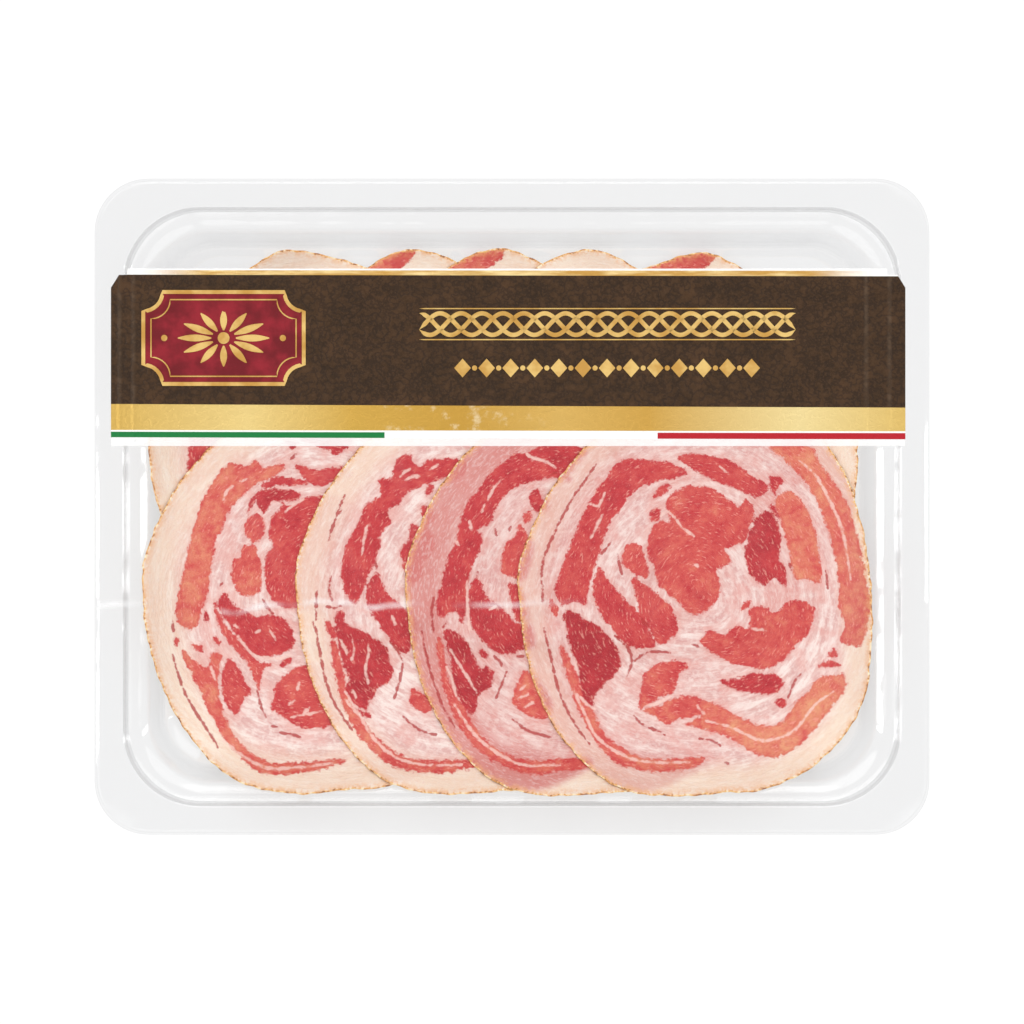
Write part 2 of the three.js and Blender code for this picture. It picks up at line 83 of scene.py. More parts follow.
# The pattern of each front slice: x,y pairs in tenths of a millimetre from its centre. Each island
# of lean has a tone, from 0 for pale salmon to 1 for crimson, and an outline. Veins are thin pale
# lines, and seams thin dark ones.
FRONT_PATTERNS = [
    {"lean": {
        "outer band": (0.34, [-224,366, -192,380, -166,360, -123,372, -108,363, -131,340, -183,317, -233,279,
        -273,233, -291,180, -311,152, -314,114, -325,53, -328,12, -349,-51, -360,-89, -386,-109, -418,-86,
        -421,-40, -401,65, -375,175, -343,273, -314,328, -267,372]),
        "under band": (0.7, [-172,311, -131,334, -91,331, -39,320, -53,311, -125,311, -160,302]),
        "back band": (0.65, [-76,366, -50,366, -21,354, 37,363, 69,357, 83,340, 37,322, -4,308, -39,322]),
        "crescent": (0.75, [-207,267, -178,293, -128,299, -73,291, -62,279, -85,264, -120,267, -149,259,
        -166,230, -186,250, -192,267, -215,230]),
        "left bead": (0.45, [-195,224, -175,218, -166,189, -175,157, -201,146, -224,175, -218,207]),
        "left bead 2": (0.4, [-230,131, -192,134, -186,105, -175,68, -183,1, -218,-11, -247,7, -262,47,
        -253,94, -236,102]),
        "core": (0.62, [-146,215, -120,241, -117,262, -91,253, -47,273, 11,279, 69,267, 127,209, 135,94,
        83,-8, 11,-51, -68,-48, -108,-45, -149,-17, -166,50, -160,108, -140,134, -152,166]),
        "left inner": (0.68, [-285,1, -264,-31, -224,-54, -189,-72, -160,-66, -108,-80, -85,-121, -85,-156,
        -134,-187, -189,-187, -218,-167, -247,-129, -276,-86, -302,-40]),
        "left strip": (0.5, [-311,-34, -282,-95, -247,-135, -215,-176, -183,-205, -149,-211, -175,-231,
        -183,-292, -195,-254, -221,-202, -267,-153, -305,-80]),
        "speck 1": (0.7, [-111,-196, -96,-190, -88,-199, -102,-216, -120,-216]),
        "front core": (0.55, [-56,-216, -91,-228, -134,-271, -140,-303, -149,-335, -108,-367, -62,-393,
        11,-393, 69,-355, 69,-283, 25,-225, -18,-211]),
        "outer left": (0.62, [-276,-196, -262,-196, -227,-254, -207,-289, -227,-309, -250,-358, -279,-324,
        -293,-274, -285,-219]),
        "wing": (0.34, [-325,-182, -291,-182, -299,-225, -305,-283, -288,-350, -259,-416, -296,-402,
        -328,-347, -363,-269, -401,-196, -404,-167, -369,-202, -331,-219]),
        "front band": (0.36, [-314,-376, -288,-390, -259,-413, -218,-457, -154,-492, -76,-495, 25,-486,
        72,-486, 31,-503, -33,-518, -120,-526, -183,-518, -233,-480, -276,-437]),
        "speck 2": (0.5, [-430,-144, -421,-132, -412,-141, -421,-156]),
        "speck 3": (0.6, [-317,-138, -308,-132, -296,-147, -302,-156]),
        "speck 4": (0.5, [-380,-153, -360,-153, -346,-161, -357,-173]),
        "speck 5": (0.75, [-340,-57, -331,-66, -331,-89, -340,-80]),
        "edge": (0.45, [-363,441, -299,441, -337,406, -380,369, -415,322, -427,325, -398,372]),
        "label speck": (0.8, [-105,435, -70,435, -85,415]),
        "label lean": (0.75, [-62,447, 83,447, 66,415, 40,398, 17,412]),
    }, "veins": [[-288,267, -276,293, -259,308], [-238,322, -218,328], [-244,-129, -227,-153, -189,-187,
        -120,-193, -91,-185], [-259,-95, -241,-106], [-152,-115, -134,-138], [-192,-118, -180,-112],
        [-96,-326, -79,-315], [-73,-283, -65,-263], [-288,-431, -227,-477, -154,-509, -62,-506, 40,-495],
        [-105,233, -82,253, -53,270], [-325,-219, -311,-254], [-53,-355, -36,-335], [-91,-364, -39,-355,
        -4,-347]],
    "seams": [[-433,-182, -401,-289, -351,-376, -302,-451], [-433,-80, -430,-115], [-189,-283, -178,-335,
        -163,-364], [-146,-390, -131,-393], [-125,-408, -91,-413, -62,-422], [-172,-22, -160,-45, -143,-63],
        [-296,18, -288,27], [-91,386, -70,406]]},
    {"lean": {
        "outer band": (0.66, [-217,392, -183,401, -171,380, -151,366, -133,383, -81,389, -32,380, -38,346,
        -87,334, -142,314, -188,293, -211,264, -249,236, -238,204, -261,178, -278,108, -301,56, -333,-25,
        -351,-28, -374,15, -382,68, -365,146, -327,212, -310,256, -269,282, -272,328, -238,334, -226,369]),
        "core chip": (0.72, [-177,201, -139,183, -119,140, -154,96, -200,91, -209,128, -185,154]),
        "core chip 2": (0.45, [-203,88, -168,96, -154,62, -177,39, -194,62]),
        "side chip": (0.75, [-136,305, -122,317, -113,308, -133,279]),
        "side chip 2": (0.7, [-151,250, -133,250, -122,221, -142,209]),
        "left inner": (0.72, [-290,53, -272,53, -252,4, -206,-37, -177,-77, -177,-150, -203,-170, -240,-135,
        -281,-77, -310,-22, -304,24]),
        "outer left": (0.8, [-403,-72, -377,-51, -368,-89, -327,-106, -281,-135, -252,-164, -243,-199,
        -232,-228, -252,-263, -278,-274, -290,-300, -307,-326, -301,-361, -327,-350, -362,-303, -374,-274,
        -356,-251, -377,-208, -391,-150]),
        "bead": (0.5, [-429,-80, -414,-86, -394,-124, -408,-129, -426,-103]),
        "front band": (0.4, [-411,-150, -400,-141, -380,-216, -359,-309, -316,-373, -281,-419, -220,-463,
        -154,-483, -52,-483, 6,-489, -9,-506, -101,-518, -197,-509, -261,-483, -322,-425, -368,-350,
        -391,-280, -406,-208]),
        "front core": (0.5, [-177,-280, -159,-286, -125,-309, -119,-344, -156,-341, -183,-318]),
        "edge": (0.5, [-371,444, -322,444, -351,409, -368,392]),
    }, "veins": [[-211,337, -197,351, -180,363], [-197,328, -177,337, -154,340], [-307,198, -316,154,
        -322,108], [-351,-135, -345,-164, -353,-193], [-304,-150, -304,-179, -313,-222, -304,-263],
        [-371,-286, -348,-324, -316,-341, -301,-344], [-371,-309, -327,-361, -293,-416, -235,-468, -154,-495,
        -32,-497], [-275,160, -261,163], [-235,-63, -226,-92], [-125,357, -101,372], [-385,-135, -365,-179],
        [-351,-280, -339,-303]],
    "seams": [[-452,10, -455,-31, -455,-77], [-464,-83, -455,-112, -449,-150, -429,-251, -400,-326,
        -351,-399], [-411,50, -417,10, -408,-22], [-423,-37, -406,-43, -382,-37], [-240,-144, -220,-167,
        -203,-196], [-203,-202, -214,-257, -229,-309], [-203,-358, -177,-382, -148,-402, -107,-411],
        [-382,247, -382,238], [-371,285, -400,212, -420,149], [-281,91, -278,73]]},
    {"lean": {
        "outer band": (0.68, [-241,379, -218,387, -203,405, -177,411, -145,390, -105,382, -67,355, -38,332,
        -102,338, -166,324, -218,298, -253,245, -270,208, -296,196, -308,185, -290,161, -313,101, -334,40,
        -337,-15, -351,-79, -368,-47, -389,-56, -415,-62, -424,-21, -406,43, -392,101, -366,161, -354,216,
        -328,274, -287,321, -267,355]),
        "back band": (0.75, [-160,405, -143,422, -96,434, -24,434, 5,413, -18,384, -50,347, -90,376,
        -131,396]),
        "chip": (0.78, [-154,295, -128,303, -119,274, -102,269, -111,245, -143,245]),
        "chip 2": (0.6, [-172,234, -154,240, -151,219, -169,208]),
        "core": (0.5, [-186,205, -166,182, -148,144, -154,101, -172,48, -206,54, -235,66, -235,109, -221,150,
        -195,170]),
        "chip 3": (0.65, [-215,28, -189,22, -172,-15, -166,-73, -192,-76, -203,-30]),
        "left inner": (0.75, [-316,43, -299,40, -282,-4, -232,-41, -200,-79, -154,-91, -143,-146, -186,-163,
        -232,-175, -273,-149, -319,-94, -334,-50, -337,-10]),
        "outer left": (0.88, [-400,-105, -368,-111, -337,-140, -311,-195, -293,-221, -279,-209, -256,-230,
        -270,-264, -305,-296, -308,-322, -325,-351, -351,-314, -374,-264, -386,-183, -403,-123]),
        "speck": (0.8, [-302,-160, -284,-163, -276,-183, -296,-180]),
        "front band": (0.42, [-424,-131, -406,-146, -400,-204, -380,-276, -348,-322, -313,-386, -258,-444,
        -206,-470, -125,-482, -38,-473, 20,-479, 5,-499, -87,-511, -154,-517, -227,-496, -299,-453, -354,-389,
        -386,-322, -409,-247]),
        "front core": (0.4, [-163,-221, -131,-253, -96,-305, -102,-357, -151,-354, -200,-322, -203,-299,
        -183,-244]),
    }, "veins": [[-163,408, -145,396, -111,387, -79,367], [-337,37, -334,-44, -328,-102], [-386,-160,
        -345,-224, -308,-285], [-395,-212, -380,-247, -368,-296], [-374,-317, -345,-363, -305,-415, -241,-464,
        -169,-493, -67,-493], [-276,274, -258,309, -241,326], [-371,158, -360,144], [-328,216, -322,187],
        [-183,-276, -157,-259], [-189,-302, -160,-291], [-172,-328, -145,-314], [-270,-44, -253,-33],
        [-293,240, -284,260]],
    "seams": [[-432,-7, -438,-50, -432,-108], [-470,-91, -450,-195, -415,-305, -371,-389], [-395,-79,
        -406,-94], [-258,-178, -241,-195, -235,-209], [-192,-180, -172,-180], [-221,-224, -238,-267,
        -253,-305], [-206,-363, -154,-398, -93,-415], [-111,341, -79,353], [-256,190, -250,173], [-215,185,
        -209,199], [-305,66, -308,51], [-400,-340, -383,-369]]},
    {"lean": {
        "outer band": (0.62, [-200,394, -235,371, -267,331, -299,284, -331,226, -354,168, -380,105, -406,21,
        -391,-26, -345,-17, -319,-26, -307,41, -278,131, -255,200, -218,247, -203,276, -160,316, -90,333,
        -23,351, -70,380, -131,388]),
        "back band": (0.62, [-52,397, -18,409, 46,403, 104,386, 156,351, 203,322, 208,307, 182,284, 142,299,
        90,319, 29,345, -18,371]),
        "back tip": (0.7, [217,342, 234,345, 255,333, 237,304, 231,287, 217,316]),
        "back speck": (0.7, [214,261, 226,261, 243,220, 231,229]),
        "shoulder": (0.6, [-128,278, -107,313, -84,319, -73,310, -93,296]),
        "shoulder speck": (0.6, [-131,218, -128,241, -110,252, -105,238, -113,215]),
        "core": (0.5, [-84,273, -41,310, 3,316, 46,307, 90,278, 127,255, 142,276, 159,267, 171,235, 156,197,
        139,157, 101,139, 84,134, 101,99, 84,84, 58,73, 72,23, 52,-26, 14,-55, -23,-52, -50,-20, -105,26,
        -122,79, -142,131, -134,177, -119,203, -99,215, -76,212]),
        "small left": (0.5, [-200,145, -177,148, -157,134, -139,67, -148,52, -200,76, -215,96, -212,122]),
        "left inner": (0.62, [-278,76, -244,29, -203,-17, -174,-40, -134,-104, -116,-145, -139,-153,
        -200,-145, -238,-104, -278,-52, -299,9, -293,58]),
        "left core": (0.55, [-186,44, -157,38, -107,-3, -70,-37, -55,-92, -61,-118, -105,-142, -134,-101,
        -160,-63, -171,-14]),
        "outer left": (0.92, [-383,-63, -368,-43, -322,-69, -276,-98, -235,-145, -218,-200, -238,-234,
        -273,-266, -296,-298, -302,-324, -333,-295, -339,-231, -362,-159, -374,-101]),
        "front band": (0.38, [-391,-145, -365,-188, -339,-246, -316,-304, -293,-344, -267,-402, -220,-440,
        -151,-472, -55,-475, 23,-469, 3,-492, -55,-507, -145,-507, -220,-489, -273,-446, -310,-391, -345,-321,
        -368,-249, -388,-185]),
        "front left": (0.5, [-64,-191, -29,-200, -23,-214, -47,-229, -64,-281, -99,-295, -157,-333, -163,-313,
        -157,-269, -148,-229, -116,-205]),
        "front core": (0.42, [-151,-333, -105,-324, -79,-304, -23,-295, 17,-304, 20,-344, -55,-362, -84,-376,
        -122,-353]),
        "front core 2": (0.4, [-29,-376, 0,-362, 26,-362, 26,-388, -6,-382]),
        "front arc": (0.26, [-18,-304, 52,-315, 104,-344, 153,-368, 205,-382, 258,-368, 284,-324, 321,-289,
        356,-246, 388,-237, 431,-234, 434,-275, 399,-321, 359,-376, 315,-423, 263,-460, 205,-469, 145,-446,
        90,-408, 37,-394, 3,-379, 20,-344]),
        "heart": (0.52, [17,-127, 46,-104, 84,-118, 118,-90, 156,-95, 156,-46, 191,-34, 234,-55, 260,-26,
        298,-17, 336,-29, 347,-58, 327,-113, 292,-147, 260,-185, 200,-217, 142,-203, 101,-194, 61,-176,
        23,-147]),
        "heart speck": (0.55, [133,-46, 139,-26, 156,-20, 153,-34]),
        "lip": (0.72, [72,-249, 127,-243, 171,-226, 200,-234, 231,-229, 258,-263, 220,-289, 156,-281,
        118,-275]),
        "lip speck": (0.7, [234,-315, 249,-301, 266,-310, 255,-327]),
        "right specks": (0.6, [385,-179, 402,-156, 414,-174, 402,-182]),
        "right specks 2": (0.6, [359,-211, 382,-191, 423,-205, 399,-208]),
        "right outer": (0.3, [220,432, 258,394, 318,331, 365,247, 399,139, 417,23, 417,-32, 434,-87, 423,-130,
        452,-145, 478,-142, 495,-78, 504,-20, 489,52, 478,125, 449,241, 417,304, 362,380, 330,432]),
        "right inner": (0.28, [243,287, 278,299, 313,264, 342,203, 362,102, 362,35, 321,47, 289,52, 272,131,
        246,218, 231,267]),
        "cleft": (0.82, [211,241, 185,232, 156,177, 145,113, 162,55, 197,29, 229,50, 263,23, 258,81, 240,110,
        249,160, 237,212]),
        "left speck": (0.5, [-417,-11, -397,-49, -409,-61, -420,-40]),
    }, "veins": [[-307,264, -284,258, -273,276, -264,299], [-273,232, -290,194, -307,160], [69,374, 101,345],
        [-102,229, -79,241, -41,197, -6,171], [-6,90, 8,81], [-354,-278, -322,-344, -287,-411, -209,-466,
        -128,-484, -18,-484], [-345,-287, -319,-313, -293,-333], [-354,-179, -339,-231], [-151,-324,
        -105,-313, -64,-292], [29,-365, 95,-382, 139,-402, 191,-423, 249,-414, 301,-382, 347,-321, 402,-281],
        [3,-321, 26,-347], [162,-98, 205,-104], [301,391, 350,345, 405,241, 431,168, 449,44]],
    "seams": [[-290,377, -360,276, -409,183, -446,84, -444,-20], [-441,-95, -420,-182, -391,-295, -348,-379,
        -307,-434], [-235,-118, -194,-159, -186,-200, -200,-240], [-177,-191, -134,-165, -73,-168], [-247,154,
        -273,119], [-229,116, -215,61], [-180,-350, -148,-379, -87,-405], [11,-417, 46,-423, 72,-437],
        [84,-486, 95,-489], [379,70, 385,18], [272,90, 278,73], [-157,-72, -139,-90], [-9,-145, 14,-150],
        [269,-301, 289,-252, 307,-231]]},
]

# ---- Curves and distances, in the plane of the tray ----

def smooth_curve(points, spans=6, closed=True):
    """Points along a Catmull-Rom curve through the given ones."""
    points = np.array(points, float)
    if closed:
        padded = np.vstack([points[-1:], points, points[:2]])
    else:
        padded = np.vstack([2 * points[0] - points[1], points, 2 * points[-1] - points[-2]])
    share = np.linspace(0, 1, spans, endpoint=False)[:, None]
    found = []
    for a, b, c, d in zip(padded, padded[1:], padded[2:], padded[3:]):
        found.append(0.5 * (2 * b + (c - a) * share + (2 * a - 5 * b + 4 * c - d) * share ** 2
                            + (3 * b - a - 3 * c + d) * share ** 3))
    if not closed:
        found.append(points[-1:])
    return np.vstack(found)


def pattern_curve(tenths, closed=True):
    """The smooth curve through points given as x, y, x, y and so on in tenths of a millimetre."""
    return smooth_curve(np.array(tenths).reshape(-1, 2) / 10, 5, closed)


def line_distance(places, line, widths=None):
    """How far places lie from a line of points, less the line's half width there."""
    starts = line[:-1]
    steps = line[1:] - starts
    offset = places[:, None, :] - starts[None]
    share = np.clip((offset * steps).sum(2) / np.maximum((steps ** 2).sum(1), 1e-9), 0, 1)
    gap = np.hypot(*np.moveaxis(offset - share[..., None] * steps, 2, 0))
    if widths is not None:
        gap -= widths[:-1] + share * (widths[1:] - widths[:-1])
    return gap.min(1)


def depth_inside(places, ring):
    """How far places lie inside a closed ring of points. It is negative outside."""
    closed = np.vstack([ring, ring[:1]])
    (x, y), (ax, ay), (bx, by) = places.T[..., None], closed[:-1].T, closed[1:].T
    spans = (ay > y) != (by > y)
    rise = np.where(np.abs(by - ay) < 1e-9, 1e-9, by - ay)
    crosses = spans & (x < ax + (y - ay) / rise * (bx - ax))
    inside = crosses.sum(1) % 2 == 1
    gap = line_distance(places, closed)
    return np.where(inside, gap, -gap)


def near(places, line, reach):
    """Which places are within reach of the box round a line."""
    low, high = line.min(0) - reach, line.max(0) + reach
    return np.all((places > low) & (places < high), axis=1)


def smoothstep(value, low, high):
    share = np.clip((value - low) / (high - low), 0, 1)
    return share * share * (3 - 2 * share)


def waves(angle, seed, counts, amount):
    """A fixed sum of sine waves round a circle."""
    random = np.random.default_rng(seed)
    phases = random.uniform(0, 2 * math.pi, len(counts))
    heights = random.uniform(0.5, 1.0, len(counts)) * amount / math.sqrt(len(counts))
    return sum(h * np.sin(n * angle + p) for n, p, h in zip(counts, phases, heights))


def inside_by(x, y, inset, radius):
    """How far a point lies inside a rounded rectangle about the middle of the tray."""
    dx = np.abs(x) - (TRAY_LENGTH / 2 - inset - radius)
    dy = np.abs(y) - (TRAY_WIDTH / 2 - inset - radius)
    outside = np.hypot(np.maximum(dx, 0), np.maximum(dy, 0))
    return radius - outside - np.minimum(np.maximum(dx, dy), 0)


# ---- Meshes ----

def mesh_piece(name, points, faces, material, smooth_below=None):
    """An object from points in millimetres. Edges sharper than smooth_below degrees stay sharp."""
    mesh = bpy.data.meshes.new(name)
    mesh.from_pydata((np.asarray(points, float) * MM).tolist(), [], faces)
    mesh.materials.append(material)
    mesh.shade_smooth()
    if smooth_below is not None:
        mesh.set_sharp_from_angle(angle=math.radians(smooth_below))
    piece = bpy.data.objects.new(name, mesh)
    bpy.context.scene.collection.objects.link(piece)
    return piece


def ring_faces(first, second, flip=False):
    """Quads between two closed rings of point numbers."""
    faces = []
    for a, b, c, d in zip(first, first[1:] + first[:1], second[1:] + second[:1], second):
        faces.append((d, c, b, a) if flip else (a, b, c, d))
    return faces


def quarter_round(start, end, steps, steep_first):
    """Rings along a quarter ellipse between two rings."""
    found = []
    for k in range(1, steps + 1):
        angle = k / steps * math.pi / 2
        slow, fast = 1 - math.cos(angle), math.sin(angle)
        across, up = (slow, fast) if steep_first else (fast, slow)
        shares = (across, up, across)
        found.append(tuple(a + (b - a) * share for a, b, share in zip(start, end, shares)))
    return found


def tray_profile(steps):
    return [
        FLOOR, *quarter_round(FLOOR, WALL_FOOT, steps, False),
        WALL_TOP, *quarter_round(WALL_TOP, LEDGE, steps, True),
        LEDGE_BACK, DROP, *quarter_round(DROP, MOUTH, steps, True),
        FLANGE, *quarter_round(FLANGE, EDGE, steps, False), HEM,
    ]


def tray_height(x, y):
    """The height of the tray's upper surface."""
    profile = tray_profile(4)
    depths = [inside_by(x, y, inset, radius) for inset, _, radius in profile]
    height = np.full(np.shape(x), TRAY_HEIGHT)
    height[depths[0] >= 0] = profile[0][1]
    for k in range(1, len(profile)):
        between = (depths[k - 1] < 0) & (depths[k] >= 0)
        share = depths[k - 1] / np.where(between, depths[k - 1] - depths[k], 1)
        level = profile[k - 1][1] + (profile[k][1] - profile[k - 1][1]) * share
        height = np.where(between, level, height)
    return height


def film_top(x, y):
    """The height of the film's upper surface, which sags inside the mouth and is a little uneven."""
    sunk = smoothstep(inside_by(x, y, *FILM_MOUTH), 0, SAG_WIDTH)
    uneven = 0.05 * np.sin(x / 17 + 1.3 * np.sin(y / 23)) * np.sin(y / 13 + 0.8 * np.sin(x / 31))
    return TRAY_HEIGHT + FILM_GAP + FILM_THICKNESS - FILM_SAG * sunk + uneven * sunk


def label_top(x, y):
    return film_top(x, y) + LABEL_GAP + LABEL_THICKNESS


# ---- Shaders ----

# The lights show a level surface about this much brighter than its own colour.
BRIGHTNESS = 1.1


def colour(red, green, blue):
    """The linear colour of a surface that a picture shows with these values, from 0 to 255."""
    shares = [value / 255 for value in (red, green, blue)]
    linear = [v / 12.92 if v < 0.04045 else ((v + 0.055) / 1.055) ** 2.4 for v in shares]
    return tuple(v / BRIGHTNESS for v in linear) + (1.0,)


class Shader:
    """One material, and short ways to add nodes to it."""

    def __init__(self, name):
        self.material = bpy.data.materials.new(name)
        self.material.use_nodes = True
        self.tree = self.material.node_tree
        self.tree.nodes.clear()
        self.output = self.tree.nodes.new("ShaderNodeOutputMaterial")

    def node(self, kind, inputs=None, **settings):
        node = self.tree.nodes.new("ShaderNode" + kind)
        for name, value in settings.items():
            setattr(node, name, value)
        for socket, value in (inputs or {}).items():
            if isinstance(value, bpy.types.NodeSocket):
                self.tree.links.new(value, node.inputs[socket])
            else:
                node.inputs[socket].default_value = value
        return node

    def surface(self, shader):
        self.tree.links.new(shader.outputs[0], self.output.inputs["Surface"])
        return self.material

    def place(self, scale=(1, 1, 1)):
        """The place on the object in millimetres, stretched by the given scale."""
        where = self.node("TexCoord").outputs["Object"]
        inputs = {"Vector": where, "Scale": tuple(s / MM for s in scale)}
        return self.node("Mapping", inputs).outputs[0]

    def field(self, name):
        return self.node("Attribute", attribute_name=name).outputs["Fac"]

    def stretched(self, name, scale):
        where = self.node("Attribute", attribute_name=name).outputs["Vector"]
        return self.node("Mapping", {"Vector": where, "Scale": scale}).outputs[0]

    def noise(self, where, scale, detail=2.0, roughness=0.5):
        inputs = {"Vector": where, "Scale": scale, "Detail": detail, "Roughness": roughness}
        return self.node("TexNoise", inputs).outputs["Fac"]

    def math(self, operation, a, b=0.0, clamp=False):
        return self.node("Math", {0: a, 1: b}, operation=operation, use_clamp=clamp).outputs[0]

    def plus(self, a, b, clamp=False):
        return self.math("ADD", a, b, clamp)

    def times(self, a, b):
        return self.math("MULTIPLY", a, b)

    def gap(self, value, spot):
        """How far a value lies from a spot."""
        return self.math("ABSOLUTE", self.scaled(value, 1.0, -spot))

    def scaled(self, value, factor, offset=0.0):
        """The value times a factor plus an offset."""
        return self.node("Math", {0: value, 1: factor, 2: offset}, operation="MULTIPLY_ADD").outputs[0]

    def step(self, value, low, high, start=0.0, end=1.0):
        """A smooth step from start, where the value is low, to end, where it is high."""
        inputs = {"Value": value, "From Min": low, "From Max": high, "To Min": start, "To Max": end}
        return self.node("MapRange", inputs, interpolation_type="SMOOTHSTEP").outputs["Result"]

    def mix(self, share, a, b):
        return self.node("Mix", {0: share, 6: a, 7: b}, data_type="RGBA").outputs[2]

    def ramp(self, value, stops):
        """Colours that change smoothly between stops, which map a value to a picture's colour."""
        node = self.node("ValToRGB", {"Fac": value})
        for k, (place, shade) in enumerate(stops.items()):
            spot = node.color_ramp.elements[k] if k < 2 else node.color_ramp.elements.new(place)
            spot.position = place
            spot.color = colour(*shade)
        return node.outputs["Color"]

    def bump(self, height, depth, normal=None):
        inputs = {"Height": height, "Distance": depth * MM, "Strength": 1.0}
        if normal is not None:
            inputs["Normal"] = normal
        return self.node("Bump", inputs).outputs[0]


def clear_plastic(name, index, tint, edge_tint, roughness, marks):
    """A thin clear sheet. Light goes straight through, and both faces reflect by Fresnel's law.

    The marks are its relief and the share of it painted white, a painted highlight.
    """
    shader = Shader(name)
    slant = shader.node("LayerWeight", {"Blend": 0.5}).outputs["Facing"]
    shade = shader.mix(shader.math("POWER", slant, 5.0), tint, edge_tint)
    through = shader.node("BsdfTransparent", {"Color": shade})
    mirror = {"Color": (1, 1, 1, 1), "Roughness": roughness}
    relief, glint_share = marks(shader)
    if relief:
        mirror["Normal"] = relief
    behind = shader.node("NewGeometry").outputs["Backfacing"]
    share = shader.node("Fresnel", {"IOR": shader.scaled(behind, 1 / index - index, index)}).outputs[0]
    sheet = shader.node("MixShader", {
        0: share, 1: through.outputs[0], 2: shader.node("BsdfGlossy", mirror).outputs[0],
    })
    # A white diffuse layer over part of the sheet paints a highlight there.
    if glint_share:
        white = shader.node("BsdfDiffuse", {"Color": (0.9, 0.9, 0.9, 1)})
        sheet = shader.node("MixShader", {0: glint_share, 1: sheet.outputs[0], 2: white.outputs[0]})
    return shader.surface(sheet)


# ---- The tray and the film ----

# How strongly each plastic bends light, and how finely their rings are divided: the steps of a
# corner, and the spans along and across the tray.
TRAY_INDEX, FILM_INDEX = 1.45, 1.3
RING_STEPS = (14, 30, 22)


def rounded_ring(inset, radius, z, corner_steps, along, across):
    """A rounded rectangle with evenly spaced points on its straight sides as well."""
    half_x = TRAY_LENGTH / 2 - inset - radius
    half_y = TRAY_WIDTH / 2 - inset - radius
    corners = [(half_x, half_y), (-half_x, half_y), (-half_x, -half_y), (half_x, -half_y)]
    points = []
    for quarter, (x, y) in enumerate(corners):
        for k in range(corner_steps + 1):
            angle = (quarter + k / corner_steps) * math.pi / 2
            points.append((x + radius * math.cos(angle), y + radius * math.sin(angle), z))
        end = np.array(points[-1])
        next_x, next_y = corners[(quarter + 1) % 4]
        turn = (quarter + 1) * math.pi / 2
        start = np.array((next_x + radius * math.cos(turn), next_y + radius * math.sin(turn), z))
        count = across if quarter % 2 else along
        points.extend(tuple(end + (start - end) * k / count) for k in range(1, count))
    return points


def joined(shapes):
    """One list of points and faces from several."""
    points, faces = [], []
    for shape_points, shape_faces in shapes:
        shift = len(points)
        points.extend(shape_points)
        faces.extend(tuple(k + shift for k in face) for face in shape_faces)
    return points, faces


def shell(loops):
    """A closed shell through loops of points, from the middle of its top to that of its bottom."""
    count = len(loops[0])
    ends = [np.mean(loops[0], axis=0), np.mean(loops[-1], axis=0)]
    points = [ends[0]] + [point for loop in loops for point in loop] + [ends[1]]
    numbers = [list(range(1 + k * count, 1 + (k + 1) * count)) for k in range(len(loops))]
    faces = []
    for first, second in zip(numbers, numbers[1:]):
        faces += ring_faces(first, second, flip=True)
    inner, outer, last = numbers[0], numbers[-1], len(points) - 1
    faces += [(0, a, b) for a, b in zip(inner, inner[1:] + inner[:1])]
    faces += [(last, b, a) for a, b in zip(outer, outer[1:] + outer[:1])]
    return points, faces


def underside(profile):
    """The profile moved through the sheet, square to its own slope."""
    found = []
    for k, (inset, z, radius) in enumerate(profile):
        before, after = profile[max(k - 1, 0)], profile[min(k + 1, len(profile) - 1)]
        run, rise = before[0] - after[0], after[1] - before[1]
        length = math.hypot(run, rise)
        found.append((inset - SHEET * rise / length, z - SHEET * run / length, radius))
    return found


def drawn_waves(shader):
    """The long soft waves that forming leaves in the tray's walls."""
    return shader.bump(shader.noise(shader.place(), 0.07, 1.0), 0.3), None


def film_crease_glint(shader):
    """A painted highlight: a long faint white band across the film, in front of the label, where a crease
    would catch the light.
    """
    split = shader.node("SeparateXYZ", {0: shader.place()})
    wander = shader.noise(shader.place((0.03, 0.0, 0.0)), 1.0, 2.0)
    level = shader.plus(split.outputs[1], shader.scaled(wander, 12.0, 22.3))
    glint_band = shader.step(shader.math("ABSOLUTE", level), 1.5, 0.0, 0.0, 0.3)
    where = shader.step(shader.noise(shader.place((0.06, 0.02, 0.0)), 1.0, 2.0), 0.42, 0.6)
    where = shader.times(where, shader.step(split.outputs[0], 25.0, -15.0))
    return None, shader.times(glint_band, where)


def let_light_through(piece):
    """The piece casts no shadow and hides no sky, as in the even light of a lightbox."""
    piece.visible_shadow = False
    piece.visible_diffuse = False


def make_tray():
    tint, edge_tint = (0.943, 0.944, 0.946, 1), (0.3, 0.3, 0.31, 1)
    material = clear_plastic("clear tray", TRAY_INDEX, tint, edge_tint, 0.06, drawn_waves)
    profile = tray_profile(8)
    rings = profile + underside(profile)[::-1]
    loops = [rounded_ring(inset, radius, z, *RING_STEPS) for inset, z, radius in rings]
    tray = mesh_piece("tray_shell", *shell(loops), material, smooth_below=50)
    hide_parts("tray")
    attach(tray, "root")
    let_light_through(tray)


def thin_sheet(loops, top_of, thickness):
    """A closed sheet from flat loops of (x, y), inner to outer, laid on a height function."""
    def at(loop, drop):
        loop = np.array(loop)[:, :2]
        return np.column_stack([loop, top_of(loop[:, 0], loop[:, 1]) - drop])
    upper = [at(loop, 0) for loop in loops]
    lower = [at(loop, thickness) for loop in reversed(loops)]
    return shell(upper + lower)


